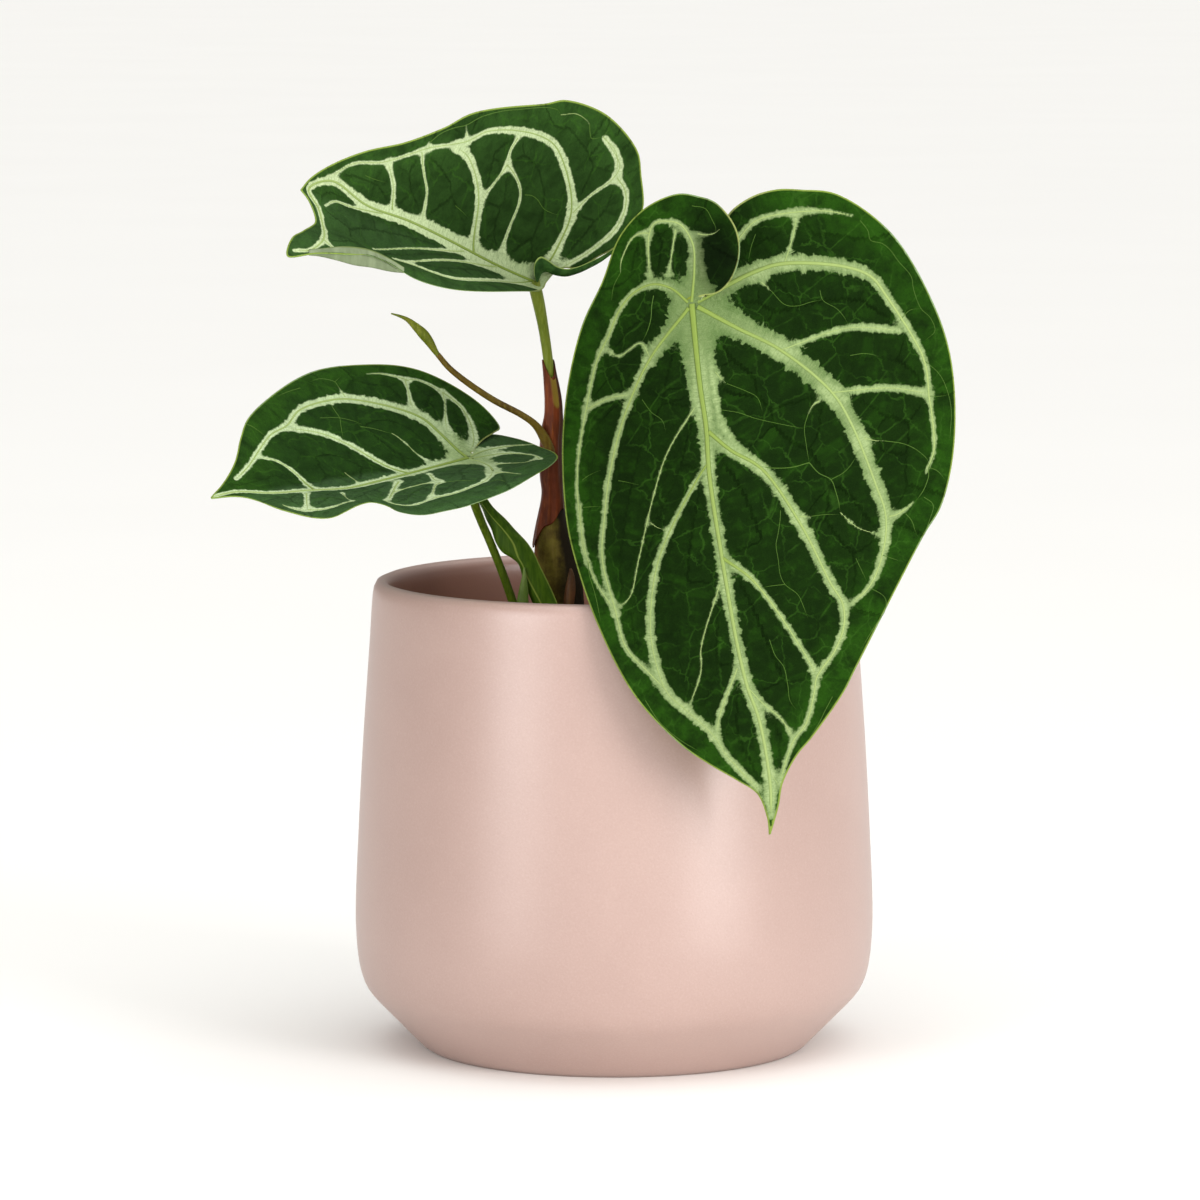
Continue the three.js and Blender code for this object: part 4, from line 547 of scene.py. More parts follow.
def turned(profile, sides):
    """Rings of a profile of [radius, height] turned about the vertical axis."""
    turn = np.linspace(0, 2 * np.pi, sides, endpoint=False)
    radius, height = np.asarray(profile, float).T[:, :, None]
    return np.stack([radius * np.cos(turn), radius * np.sin(turn), height + 0 * turn], -1)


# ---- the bent sheet of a blade ---------------------------------------------------------------
def bearing(x, y, half):
    """Direction from the petiole in degrees: 90 at the tip, down the plus half to the sinus,
    and from -270 up the minus half to the sinus."""
    angle = np.degrees(np.arctan2(y, x))
    return np.where((half < 0) & (angle > 80), angle - 360, angle)


def squeeze(leaf, half, radius):
    """How much a half is narrowed so that lobes which lap over each other lie side by side."""
    lap = np.where(half > 0, leaf["lap"][0], leaf["lap"][1])
    free = np.where(half > 0, 90 - leaf["sinus"], leaf["sinus"] + 270)
    return 1 + (lap + 4) / (free - 4) * np.where(lap > 0, ramp((radius - 2) / 6), 0)


def unlap(leaf, x, y, half):
    """The flat point in a sheet where the lobes don't lap, and its bearing there."""
    radius, tip = np.hypot(x, y), np.where(half > 0, 90, -270)
    angle = tip + (bearing(x, y, half) - tip) / squeeze(leaf, half, radius)
    return radius * np.cos(np.radians(angle)), radius * np.sin(np.radians(angle)), angle


def lap_over(leaf, u, v, half):
    """The inverse of unlap."""
    radius, tip = np.hypot(u, v), np.where(half > 0, 90, -270)
    angle = np.radians(tip + (bearing(u, v, half) - tip) * squeeze(leaf, half, radius))
    return radius * np.cos(angle), radius * np.sin(angle)


def sheet_height(leaf, x, y, half):
    """Spine + slope of the half times the softened distance from the midrib + bow times its
    square + the lift of the lobes beside the sinus + the swells."""
    plus = half > 0
    out = x * half
    soft = np.hypot(out, ROOT_SOFTNESS) - ROOT_SOFTNESS
    near = np.exp(-((unlap(leaf, x, y, half)[2] - leaf["sinus"]) / LOBE_SPREAD)**2)
    pick = lambda pair: np.where(plus, *[through(leaf["stations"], rates, y) for rates in pair])
    height = through(leaf["stations"], leaf["spine"], y)
    height = height + pick(leaf["slope"]) * np.where(out > 0, soft, -0.5 * soft)
    height += pick(leaf["bow"]) * out**2 / 100
    height += np.where(plus, *leaf["part"]) * near * (1 - np.exp(-np.hypot(x, y) / LOBE_REACH))
    for side, *swell, lift in leaf["swells"]:
        height += np.where(half == side, lift * mound(x, y, *swell), 0)
    return height


def leaf_axes(leaf):
    """Columns: across the blade, towards the tip, out of the upper face."""
    tip, face = unit(np.array(leaf["tip"], float)), np.array(leaf["face"], float)
    face = unit(face - tip * (face @ tip))
    return np.stack([np.cross(tip, face), tip, face], 1)


def on_blade(leaf, x, y, half):
    """Place of flat points on the bent sheet, and the upward normal there."""
    put = lambda a, b: np.stack([a, b, sheet_height(leaf, a, b, half)], -1)
    e = 0.3
    dx, dy = put(x + e, y) - put(x - e, y), put(x, y + e) - put(x, y - e)
    axes = leaf_axes(leaf)
    return put(x, y) @ axes.T + np.array(leaf["at"], float), unit(np.cross(dx, dy)) @ axes.T


def vein_line(leaf, vein):
    """A vein as an even curve: flat points, their half of the blade, and the unlapped points."""
    path = even_curve(vein[3], VEIN_STEP)
    half = np.where(path[:, 1] > 0, np.where(path[:, 0] >= 0, 1, -1), vein[1])
    u, v, _ = unlap(leaf, path[:, 0], path[:, 1], half)
    return path, half, np.stack([u, v], 1)


def blade_grid(leaf):
    """Square grid over the flattened blade: cells whose middle is beyond the margin are dropped
    and the outermost points are moved onto the margin. Gives points, quads, the margin and the
    parts of it beyond the sinus."""
    sides = []
    for half, key in ((1, "plus"), (-1, "minus")):
        path = even_curve(leaf[key], 0.5)
        u, v, _ = unlap(leaf, path[:, 0], path[:, 1], half)
        sides.append(np.stack([u, v], 1))
    ring = np.vstack([sides[0], sides[1][::-1][1:-1]])
    pitch = leaf["pitch"]
    low, high = ring.min(0) - pitch, ring.max(0) + pitch
    nu, nv = (np.ceil((high - low) / pitch)).astype(int) + 1
    gu, gv = np.meshgrid(np.arange(nu), np.arange(nv))
    points = np.stack([low[0] + gu * pitch, low[1] + gv * pitch], -1).reshape(-1, 2)
    quads = grid_faces(nv, nu)
    quads = quads[within(ring, points[quads].mean(1))]
    uses = np.bincount(quads.ravel(), minlength=len(points))
    rim = np.flatnonzero((uses > 0) & (uses < 4))
    closed = np.vstack([ring, ring[:1]])
    _, place = nearest(closed, points[rim])
    k = np.minimum(place.astype(int), len(ring) - 1)
    points[rim] = closed[k] + (place - k)[:, None] * (closed[k + 1] - closed[k])
    used, quads = np.unique(quads, return_inverse=True)
    outside = [side[len(side) * 4 // 25:] for side in sides]
    return points[used], quads.reshape(-1, 4), closed, outside


def blade(name, leaf, finish):
    """The blade: the bent sheet, its cells swelling between sunken veins, an under face with
    ribs, thinner towards the margin. Readings: 'band' is the distance into the pale bands, their
    soft union k log sum exp((half width - distance) / k); 'way' is the place along the nearest
    vein; 'jag' how ragged its edge is; 'edge' and 'outer' are the distances from the margin and
    from the part of it beyond the sinus; 'flat' is the flat place; 'minus' is 1 on that half;
    'cup_shade' is how much shade is painted into the hollow of a lobe."""
    flat, quads, margin, outside = blade_grid(leaf)
    u, v = flat.T
    angle = np.degrees(np.arctan2(v, u))
    half = np.where(v > 0, np.where(u >= 0, 1, -1), np.where(angle > leaf["sinus"], 1, -1))
    x, y = lap_over(leaf, u, v, half)
    soft = BAND_SOFTNESS + ROOT_BLUR * mound(u, v, 0, 0, ROOT_REACH, ROOT_REACH)
    total, best, along, ribs, wide, share, fine = np.zeros((7, len(flat)))
    best += 1e3
    for number, vein in enumerate(leaf["veins"]):
        _, _, line = vein_line(leaf, vein)
        middle, reach = (line.max(0) + line.min(0)) / 2, np.ptp(line, axis=0) / 2 + 12
        near = np.flatnonzero((np.abs(flat - middle) < reach).all(1))
        distance, place = nearest(line, flat[near])
        if vein[0] == "D":
            fine[near] = np.maximum(fine[near], np.exp(-(distance / 0.9)**2))
            continue
        width = np.interp(place / (len(line) - 1), np.linspace(0, 1, len(vein[2])), vein[2])
        total[near] += np.exp((width - distance) / soft[near])
        closer = distance - width < best[near]
        best[near] = np.where(closer, distance - width, best[near])
        along[near] = np.where(closer, place * VEIN_STEP + 31 * number, along[near])
        weight = np.exp(-(distance / 2.6)**2)
        wide[near] += width * weight
        share[near] += weight
        if vein[0] in "MA":
            ribs[near] = np.maximum(ribs[near], np.exp(-(distance / (0.7 * width + 0.5))**2))
    band = np.maximum(soft * np.log(np.maximum(total, 1e-12)), -best)
    # More ragged where a band is wide and where bands run together.
    jag = leaf["fine"] * (0.09 + 0.3 * wide / (share + 1e-3) + 0.4 * np.clip(band + best, 0, 2))
    edge, _ = nearest(margin, flat)
    outer = np.minimum(nearest(outside[0], flat)[0], nearest(outside[1], flat)[0])
    place, normal = on_blade(leaf, x, y, half)
    cell = 1 - np.exp(-(np.maximum(-band, 0) / CELL_REACH)**2)
    taper = MARGIN_SHARE + (1 - MARGIN_SHARE) * ramp(edge / 2.5)
    swell = (CELL_RISE * cell - BAND_SINK * fine) * ramp(edge / 3)
    swell -= BAND_SINK * ramp((band + 0.4) / 1.6)
    under = UNDER_RISE * cell - (THICKNESS + RIB_DEPTH * ribs) * taper
    points = np.vstack([place + normal * swell[:, None], place + normal * under[:, None]])
    cup_shade = np.where(half == leaf["cup_shade"][0], mound(x, y, *leaf["cup_shade"][1:]), 0)
    readings = {"cup_shade": np.minimum(1.3 * cup_shade, 1), "band": band, "edge": edge, "outer": outer,
                "jag": jag, "minus": (half < 0) * ramp(np.abs(x) / 3 + (y < 0)),
                "way": np.stack([along, band, 0 * band], 1), "flat": np.stack([x, y, 0 * x], 1)}
    readings = {label: np.concatenate([values, values]) for label, values in readings.items()}
    readings["under"] = np.repeat([0.0, 1.0], len(flat))
    add_piece(name + "_velvet", points, two_faced(quads, len(flat)), finish, [name], readings)
    return flat, swell


def ridges(name, leaf, surface, finish):
    """Raised centre lines of the veins: half round beads laid along the swollen surface, fading
    out. Readings: 'tone' goes from the midrib to the finest veins, 'lit_crest' from foot to top,
    where it lays painted light on the top and leaves painted shade on the flanks."""
    points, faces, tone, lit_crest, start = [], [], [], [], 0
    turn = np.linspace(0, np.pi, 7)
    flat, swell = surface
    for vein in leaf["veins"]:
        if vein[0] == "W":
            continue
        path, half, line = vein_line(leaf, vein)
        place, normal = on_blade(leaf, path[:, 0], path[:, 1], half)
        sink = swell[((line[:, None] - flat)**2).sum(2).argmin(1)]
        sink = np.convolve(np.pad(sink, 1, "edge"), [0.25, 0.5, 0.25], "valid")[:, None]
        side = np.cross(unit(np.gradient(place, axis=0)), normal)
        share = np.linspace(0, 1, len(path))
        part, fixed, fade, base, rise = RIDGES[vein[0]]
        wide = (part * vein[2][0] + fixed) * (1 - fade * np.sqrt(share))
        wide *= leaf["fine"] if vein[0] in "MA" else 1
        wide = (wide * ramp((1 - share) * len(path) / 5) + 0.02)[:, None]
        lift = sink - 0.12 + (0.16 + 0.5 * wide) * np.sin(turn)
        ring = (place[:, None] + side[:, None] * (wide * np.cos(turn))[..., None]
                + normal[:, None] * lift[..., None])
        points.append(ring.reshape(-1, 3))
        faces.append(grid_faces(len(path), 7, True) + start)
        tone.append(np.repeat(base + rise * share, 7))
        lit_crest.append(np.tile(np.sin(turn), len(path)))
        start += len(path) * 7
    add_piece(name, np.vstack(points), [np.vstack(faces)], finish,
              readings={"tone": np.concatenate(tone), "lit_crest": np.concatenate(lit_crest)})


# ---- finishes --------------------------------------------------------------------------------
def colour(red, green, blue):
    """An sRGB colour, 0 to 255, as the linear colour that a shader takes."""
    c = np.array([red, green, blue]) / 255
    c = np.where(c <= 0.04045, c / 12.92, ((c + 0.055) / 1.055)**2.4)
    return (*[float(x) for x in c], 1.0)


class Nodes:
    """Short calls that add a node to a tree and give its output."""

    def __init__(self, tree):
        self.tree = tree

    def feed(self, socket, value):
        """Links a socket to another one's output, or sets its value."""
        if isinstance(value, bpy.types.NodeSocket):
            self.tree.links.new(value, socket)
        else:
            socket.default_value = value

    def node(self, kind, inputs=None, **settings):
        """A node with these settings, and these inputs linked or set."""
        made = self.tree.nodes.new(kind)
        for key, value in settings.items():
            setattr(made, key, value)
        for key, value in (inputs or {}).items():
            self.feed(made.inputs[key], value)
        return made

    def place(self):
        """Where on the object the point lies, in metres."""
        return self.node("ShaderNodeTexCoord").outputs["Object"]

    def reading(self, name, output="Fac"):
        """A reading that add_piece stored with the points."""
        return self.node("ShaderNodeAttribute", attribute_name=name).outputs[output]

    def noise(self, vector, scale, detail=2.0, rough=0.5):
        """Cloudy values. A scale of three numbers stretches them."""
        if isinstance(scale, tuple):
            vector = self.node("ShaderNodeMapping", {"Vector": vector, "Scale": scale}).outputs[0]
            scale = 1.0
        return self.node("ShaderNodeTexNoise", {"Vector": vector, "Scale": scale, "Detail": detail,
                                                "Roughness": rough}).outputs["Fac"]

    def math(self, kind, a, b=0.0, c=0.0):
        return self.node("ShaderNodeMath", {0: a, 1: b, 2: c}, operation=kind).outputs[0]

    def step(self, value, low, high, most=1.0, least=0.0):
        """Goes smoothly from least to most while the value goes from low to high."""
        inputs = {"Value": value, "From Min": low, "From Max": high, "To Min": least, "To Max": most}
        return self.node("ShaderNodeMapRange", inputs, interpolation_type="SMOOTHSTEP",
                         clamp=True).outputs["Result"]

    def blend(self, share, a, b):
        """From paint or sRGB colour a to b."""
        a, b = [colour(*paint) if isinstance(paint, tuple) else paint for paint in (a, b)]
        return self.node("ShaderNodeMix", {"Factor": share, 6: a, 7: b}, data_type="RGBA").outputs[2]

    def layers(self, paint, *tints):
        """The paint with tints over it, one after the other, each a pair of mask and colour."""
        for mask, tint in tints:
            paint = self.blend(mask, paint, tint)
        return paint

    def relief(self, height, distance, strength=1.0, **inputs):
        """A normal bent as if the surface rose with the height, by this distance in metres."""
        inputs.update(Height=height, Distance=distance, Strength=strength)
        return self.node("ShaderNodeBump", inputs).outputs["Normal"]


class Finish(Nodes):
    """The finish of a piece, being mixed."""

    def __init__(self, name, specular, roughness=0.5):
        self.material = bpy.data.materials.new(name)
        self.material.use_nodes = True
        super().__init__(self.material.node_tree)
        self.shader = self.tree.nodes["Principled BSDF"]
        self.shader.inputs["Specular IOR Level"].default_value = specular
        self.shader.inputs["Roughness"].default_value = roughness

    def done(self, paint, **inputs):
        """The material, with this paint and these other inputs of the shader."""
        inputs["Base Color"] = paint
        for key, value in inputs.items():
            self.feed(self.shader.inputs[key], value)
        return self.material


def velvet_leaf(name, deep, vivid, chalk, webbing, bloom, painted_sheen):
    """Velvet blade: dark cells, more vivid towards the outer margin, with soft folds running from
    the veins and a thin broken net of fine veins; where the folds and ripples of the relief run
    low the green gets painted shade, where they run high painted light. Over them the pale bands,
    greyer and more ragged where they are wide, with fine hairs across. Fine specks of painted glint
    lie on cells and bands alike. A pale under face and margin, and painted shade in the hollow of a
    lobe. painted_sheen greys the half that is seen along its nap, as the velvet's sheen looks from
    that side; bloom is how softly the bands fade to chalk."""
    f = Finish(name, specular=0.03, roughness=0.8)
    flat, way = f.reading("flat", "Vector"), f.reading("way", "Vector")
    band, edge, outer, jag = [f.reading(key) for key in ("band", "edge", "outer", "jag")]
    hairs = f.noise(way, (2.8, 0.4, 1), 2, 0.6)
    teeth = f.noise(way, (0.36, 0.12, 1), 3, 0.6)
    crumbs = f.noise(flat, 0.55, 4, 0.66)
    patches = f.noise(flat, 0.09, 4, 0.65)
    painted_glints = f.noise(flat, 4.5, 2, 0.6)
    mottle = f.noise(flat, 1.8, 4, 0.7)
    ripple = f.noise(flat, 0.3, 3, 0.55)
    folds = f.math("MULTIPLY", f.math("SUBTRACT", f.noise(way, (0.24, 0.05, 1)), 0.5),
                   f.step(band, 0.0, -1.5))
    spikes = f.math("MULTIPLY", f.math("MAXIMUM", f.math("SUBTRACT", teeth, 0.5), 0.0), 7.0)
    ragged = f.math("MULTIPLY_ADD", f.math("SUBTRACT", crumbs, 0.5), 3.4, spikes)
    ragged = f.math("ADD", ragged, f.math("MULTIPLY_ADD", hairs, 0.7, -0.85))
    inward = f.math("MULTIPLY_ADD", ragged, jag, band)
    well_in = f.step(f.math("DIVIDE", inward, jag), -0.1, bloom)
    wander = f.node("ShaderNodeVectorMath", {0: f.noise(flat, 0.3, 3, 0.6), 1: (4.0, 4.0, 0.0),
                                             2: flat}, operation="MULTIPLY_ADD").outputs[0]
    net = f.node("ShaderNodeTexVoronoi", {"Vector": wander, "Scale": 0.11},
                 feature="DISTANCE_TO_EDGE").outputs["Distance"]
    rim_zone = f.math("MULTIPLY", f.step(outer, 14, 2.5), f.step(patches, 0.3, 0.62))
    green = f.layers(
        deep,
        (f.math("MAXIMUM", rim_zone, f.step(patches, 0.45, 0.75, 0.15)), vivid),
        # Painted sheen: the half seen along its nap is greyed, as the velvet's sheen looks from there.
        (f.math("MULTIPLY", f.reading("minus"), painted_sheen), (74, 102, 66)),
        # Painted glints: fine pale specks where the velvet catches the light.
        (f.step(painted_glints, 0.5, 0.85, 0.12), (74, 106, 46)),
        (f.step(mottle, 0.52, 0.3, 0.3), (10, 26, 5)),
        # Painted shade in the hollows of the ripple and folds of the relief, painted light on their
        # crests.
        (f.step(ripple, 0.5, 0.36, 0.22), (9, 24, 4)),
        (f.step(ripple, 0.52, 0.7, 0.28), vivid),
        (f.step(folds, 0.0, -0.16, 0.3), (8, 22, 4)),
        (f.step(folds, 0.02, 0.2, 0.3), vivid),
        (f.math("MULTIPLY", f.step(net, 0.03, 0.008, 0.38), f.step(patches, 0.35, 0.6)),
         (48, 84, 24)))
    pale = f.blend(f.step(jag, 0.35, 1.1), chalk, webbing)
    pale = f.layers(
        f.blend(well_in, f.blend(0.55, pale, (56, 86, 36)), pale),
        (f.step(mottle, 0.45, 0.7, 0.4), (78, 102, 50)),
        (f.step(hairs, 0.46, 0.62, 0.28), (66, 92, 42)),
        # Painted glints on the pale bands too.
        (f.step(painted_glints, 0.5, 0.85, 0.3), (180, 192, 150)))
    lip = f.blend(f.step(outer, 2.0, 5.0), (122, 142, 62), (136, 146, 84))
    rib = f.step(f.math("ADD", band, f.math("MULTIPLY_ADD", crumbs, 0.6, -0.3)), -0.4, 0.6)
    paint = f.layers(
        green,
        (f.step(inward, -0.2, 0.25), pale),
        # Painted shade: the hollow of a lobe is darkened to a near black green.
        (f.math("MULTIPLY", f.reading("cup_shade"), 0.75), (7, 17, 4)),
        (f.step(edge, 0.5, 0.2), lip),
        (f.reading("under"), f.blend(rib, (118, 142, 98), (156, 172, 128))))
    grain = f.relief(f.noise(flat, 4.0, 3, 0.6), 0.00006)
    quilt = f.relief(f.math("MULTIPLY_ADD", folds, 0.6, ripple), 0.0016, 0.7, Normal=grain)
    return f.done(paint, Normal=quilt)


def turned_green():
    """Turned margin showing its upper face: dark velvet green with a light rim."""
    f = Finish("turned green margin", specular=0.1, roughness=0.7)
    cloud = f.noise(f.place(), 400, 3, 0.6)
    return f.done(f.layers((24, 52, 12), (f.step(cloud, 0.3, 0.7), (48, 82, 30)),
                           (f.step(f.reading("rim"), 0.3, 0.8), (140, 160, 86))))


def turned_pale():
    """Turned margin showing its under face: pale grey green with faint ribs."""
    f = Finish("turned pale margin", specular=0.15, roughness=0.7)
    ribs = f.noise(f.place(), (260, 260, 60), 3, 0.6)
    return f.done(f.layers((104, 116, 86), (f.step(ribs, 0.35, 0.65), (126, 138, 106)),
                           (f.step(f.reading("rim"), 0.5, 0.9), (96, 112, 62))))


def vein_ridge():
    """Raised centre line of a vein: yellow green on top, with painted shade making the flanks
    darker; pale along the outer veins and a dull green where finest."""
    f = Finish("vein ridge", specular=0.2)
    tone = f.reading("tone")
    streak = f.noise(f.place(), 900, 2, 0.6)
    finest = f.step(tone, 0.8, 1.0)
    top = f.layers((116, 136, 54), (f.step(tone, 0.0, 0.5), (146, 164, 100)), (finest, (62, 94, 24)))
    shaded_flank = f.layers((70, 96, 32), (f.step(tone, 0.1, 0.5), (118, 140, 78)), (finest, (44, 74, 14)))
    # Painted light and shade across the ridge: lighter on top, darker on the flanks.
    return f.done(f.layers(shaded_flank, (f.step(f.reading("lit_crest"), 0.2, 0.85), top),
                           (f.math("MULTIPLY", streak, 0.2), (92, 116, 48))))


def fibrous(name, main, second, light, streak_scale=(900, 900, 60), roughness=0.5):
    """Stalk or sheath: colour in long streaks, blotches, fine fibres that also raise it."""
    f = Finish(name, specular=0.2, roughness=roughness)
    place = f.place()
    streaks = f.noise(place, streak_scale, 3, 0.6)
    paint = f.layers(main, (f.step(f.noise(place, 140, 4, 0.6), 0.35, 0.65), second),
                     (f.step(streaks, 0.45, 0.75, 0.5), light),
                     (f.step(f.noise(place, 2200), 0.62, 0.72, 0.15), light))
    return f.done(paint, Normal=f.relief(streaks, 0.0003, 0.6))


def stem_skin():
    """Old stem: green brown, with a tan strip of dry sheath down the left and painted shade down the
    right.
    """
    f = Finish("green brown stem", specular=0.12, roughness=0.6)
    place = f.place()
    streaks = f.noise(place, (700, 700, 60), 4, 0.65)
    blotch = f.noise(place, 180, 4, 0.65)
    wander = f.math("MULTIPLY_ADD", blotch, 0.12, f.reading("round"))
    paint = f.layers((122, 108, 42), (f.step(blotch, 0.35, 0.65), (90, 74, 28)),
                     (f.step(streaks, 0.5, 0.75, 0.5), (142, 124, 62)),
                     (f.step(wander, 0.68, 0.60), (146, 88, 48)),
                     # Painted shade down the right side of the stem.
                     (f.step(wander, 0.78, 0.90), (34, 26, 12)))
    return f.done(paint, Normal=f.relief(streaks, 0.0005, 0.7))


def dry_sheath():
    """Papery red brown sheath, with painted shade darkening it round to the right, and a golden olive
    flap at the top.
    """
    f = Finish("dry red brown sheath", specular=0.15)
    place = f.place()
    streaks = f.noise(place, (1300, 1300, 50), 3, 0.6)
    blotch = f.noise(place, (260, 260, 90), 4, 0.6)
    paint = f.layers((118, 52, 22), (f.step(blotch, 0.35, 0.65), (86, 36, 12)),
                     (f.step(streaks, 0.5, 0.75, 0.4), (166, 92, 42)),
                     # Painted shade darkening the sheath round to the right.
                     (f.step(f.reading("across"), 0.25, 1.0), (60, 28, 6)),
                     (f.step(f.reading("golden"), 0.3, 0.7), (128, 104, 36)))
    return f.done(paint, Normal=f.relief(streaks, 0.0004, 0.7))


def lined_sheath():
    """Folded green sheath: dark olive green with a painted yellow green highlight along fold and edge.
    """
    f = Finish("folded green sheath", specular=0.12)
    streaks = f.noise(f.place(), (900, 900, 90), 3, 0.6)
    paint = f.layers((56, 86, 12), (f.step(streaks, 0.3, 0.7), (78, 108, 20)),
                     # Painted highlight along the fold and the front edge.
                     (f.step(f.reading("lit_crest"), 0.3, 0.9, 0.7), (156, 172, 72)))
    return f.done(paint, Normal=f.relief(streaks, 0.0003, 0.6))


def pot_glaze():
    """Satin dusty pink: even colour with a very fine grain and a faint cloudiness, and painted shade
    darkening it down the inner wall.
    """
    f = Finish("satin dusty pink glaze", specular=0.65)
    place = f.place()
    cloud = f.noise(place, 22, 3, 0.5)
    grain = f.noise(place, 1700, 3, 0.6)
    paint = f.layers((167, 140, 131), (f.step(cloud, 0.3, 0.7), (172, 145, 136)),
                     (f.step(grain, 0.45, 0.75, 0.10), (206, 184, 176)),
                     (f.step(grain, 0.45, 0.25, 0.12), (138, 108, 98)),
                     # Painted shade down the inner wall of the pot.
                     (f.step(f.reading("inside"), 0.0, 1.0), (132, 94, 80)))
    return f.done(paint, Normal=f.relief(grain, 0.00006, 0.5),
                  Roughness=f.math("MULTIPLY_ADD", cloud, 0.05, 0.325))


def bark_mix():
    """Damp bark and coir: dark browns in crumbs, with paler fibres."""
    f = Finish("damp bark mix", specular=0.2, roughness=0.9)
    place = f.place()
    crumbs = f.noise(place, 260, 5, 0.65)
    fibres = f.noise(place, (300, 1400, 1400), 2, 0.6)
    paint = f.layers((38, 26, 18), (f.step(crumbs, 0.35, 0.65), (92, 66, 44)),
                     (f.step(fibres, 0.55, 0.75, 0.5), (134, 102, 68)))
    return f.done(paint, Normal=f.relief(crumbs, 0.0012))


def bark_chip():
    """Chips of bark: each its own brown, with layers along the chip."""
    f = Finish("bark chips", specular=0.25, roughness=0.85)
    layers = f.noise(f.place(), (260, 260, 1500), 3, 0.6)
    paint = f.layers((58, 36, 22), (f.reading("tone"), (136, 96, 62)),
                     (f.step(layers, 0.45, 0.7, 0.5), (36, 24, 16)))
    return f.done(paint, Normal=f.relief(layers, 0.0005))


def pumice():
    """Pale mineral grains."""
    f = Finish("pale mineral grains", specular=0.2, roughness=0.9)
    pits = f.noise(f.place(), 1400, 3, 0.6)
    paint = f.blend(f.step(pits, 0.4, 0.6), (196, 188, 172), (226, 221, 208))
    return f.done(paint, Normal=f.relief(pits, 0.0004))


# ---- pieces ----------------------------------------------------------------------------------
def make_pot(finish):
    """The pot: its wall profile turned about the vertical axis, with closed poles. 'inside'
    grows from 0 at the rim to 1 down the inner wall, where it paints shade."""
    sides = 256
    profile = even_curve(POT_WALL[1:-1], count=150)
    height = profile[:, 1]
    past_rim = np.maximum.accumulate(np.r_[0, np.diff(height)] < 0)
    inside = past_rim * ramp((136.2 - height) / 3)
    points, faces = closed_tube(turned(profile, sides), [0, 0, 0], [0, 0, POT_FLOOR])
    add_piece("pot_turned", points, faces, finish, ["pot"],
              {"inside": np.r_[np.repeat(inside, sides), 0, 1]})


def mix_height(x, y):
    """Height of the mix: slow rolls, a mound round the stem, and crumbs."""
    roll = 1.1 * np.sin(x * 0.11 + 1.3) * np.cos(y * 0.09) + 0.8 * np.sin(x * 0.23 + y * 0.19)
    crumbs = 0.5 * np.sin(x * 1.7 + 2 * np.sin(y * 0.9)) * np.sin(y * 1.5 + 2 * np.sin(x * 0.8))
    return MIX_LEVEL + roll + crumbs + 2.2 * np.exp(-((x + 15)**2 + y**2) / 700)


def make_mix(finish):
    """Top of the mix out to the wall, with a wall and floor of its own that fill the pot."""
    sides = 180
    radius = np.linspace(65.2, 1.2, 56)
    top = turned(np.stack([radius, 0 * radius], 1), sides)
    top[..., 2] = mix_height(top[..., 0], top[..., 1])
    ring = np.concatenate([turned(MIX_WALL, sides), top])
    points, faces = closed_tube(ring, [0, 0, MIX_WALL[0][1]], [0, 0, mix_height(0, 0)])
    add_piece("mix_ground", points, faces, finish, ["potting_mix"])


def scatter(name, finish, count, sizes, seed):
    """Many small lumps lying on the mix, clear of the stems: squashed, turned icosahedra. sizes
    are the least and greatest size, and the least and greatest share of it in height."""
    draw = np.random.default_rng(seed)
    golden = (1 + 5**0.5) / 2
    four = [[-1, golden, 0], [1, golden, 0], [-1, -golden, 0], [1, -golden, 0]]
    base = np.vstack([np.roll(four, axis, 1) for axis in range(3)]) / 1.9
    faces = np.array([[0, 11, 5], [0, 5, 1], [0, 1, 7], [0, 7, 10], [0, 10, 11], [1, 5, 9],
                      [5, 11, 4], [11, 10, 2], [10, 7, 6], [7, 1, 8], [3, 9, 4], [3, 4, 2],
                      [3, 2, 6], [3, 6, 8], [3, 8, 9], [4, 9, 5], [2, 4, 11], [6, 2, 10],
                      [8, 6, 7], [9, 8, 1]])
    radius = 62 * np.sqrt(draw.random(4 * count))
    turn = draw.random(4 * count) * 2 * np.pi
    x, y = radius * np.cos(turn), radius * np.sin(turn)
    clear = np.all([np.hypot(x - foot_x, y - foot_y) > gap for foot_x, foot_y, gap in STEM_FEET], 0)
    x, y = x[clear][:count], y[clear][:count]
    lumps = len(x)
    scale = draw.uniform(*sizes[:2], (lumps, 1)) * np.stack(
        [np.ones(lumps), draw.uniform(0.5, 0.9, lumps), draw.uniform(*sizes[2:], lumps)], 1)
    shape = base * (1 + 0.22 * draw.standard_normal((lumps, 12, 1))) * scale[:, None]
    spin, tilt = draw.random((lumps, 1)) * 2 * np.pi, draw.normal(0, 0.25, (2, lumps, 1))
    long, short, thick = shape[..., 0], shape[..., 1], shape[..., 2]
    across = long * np.cos(spin) - short * np.sin(spin)
    along = long * np.sin(spin) + short * np.cos(spin)
    flat = np.stack([across, along, thick + across * tilt[0] + along * tilt[1]], -1)
    points = flat + np.stack([x, y, mix_height(x, y) + 0.35 * scale[:, 2]], 1)[:, None]
    every = (faces + 12 * np.arange(lumps)[:, None, None]).reshape(-1, 3)
    piece = add_piece(name, points.reshape(-1, 3), [every], finish,
                      readings={"tone": np.repeat(draw.random(lumps), 12)})
    piece.data.polygons.foreach_set("use_smooth", np.zeros(len(every), bool))


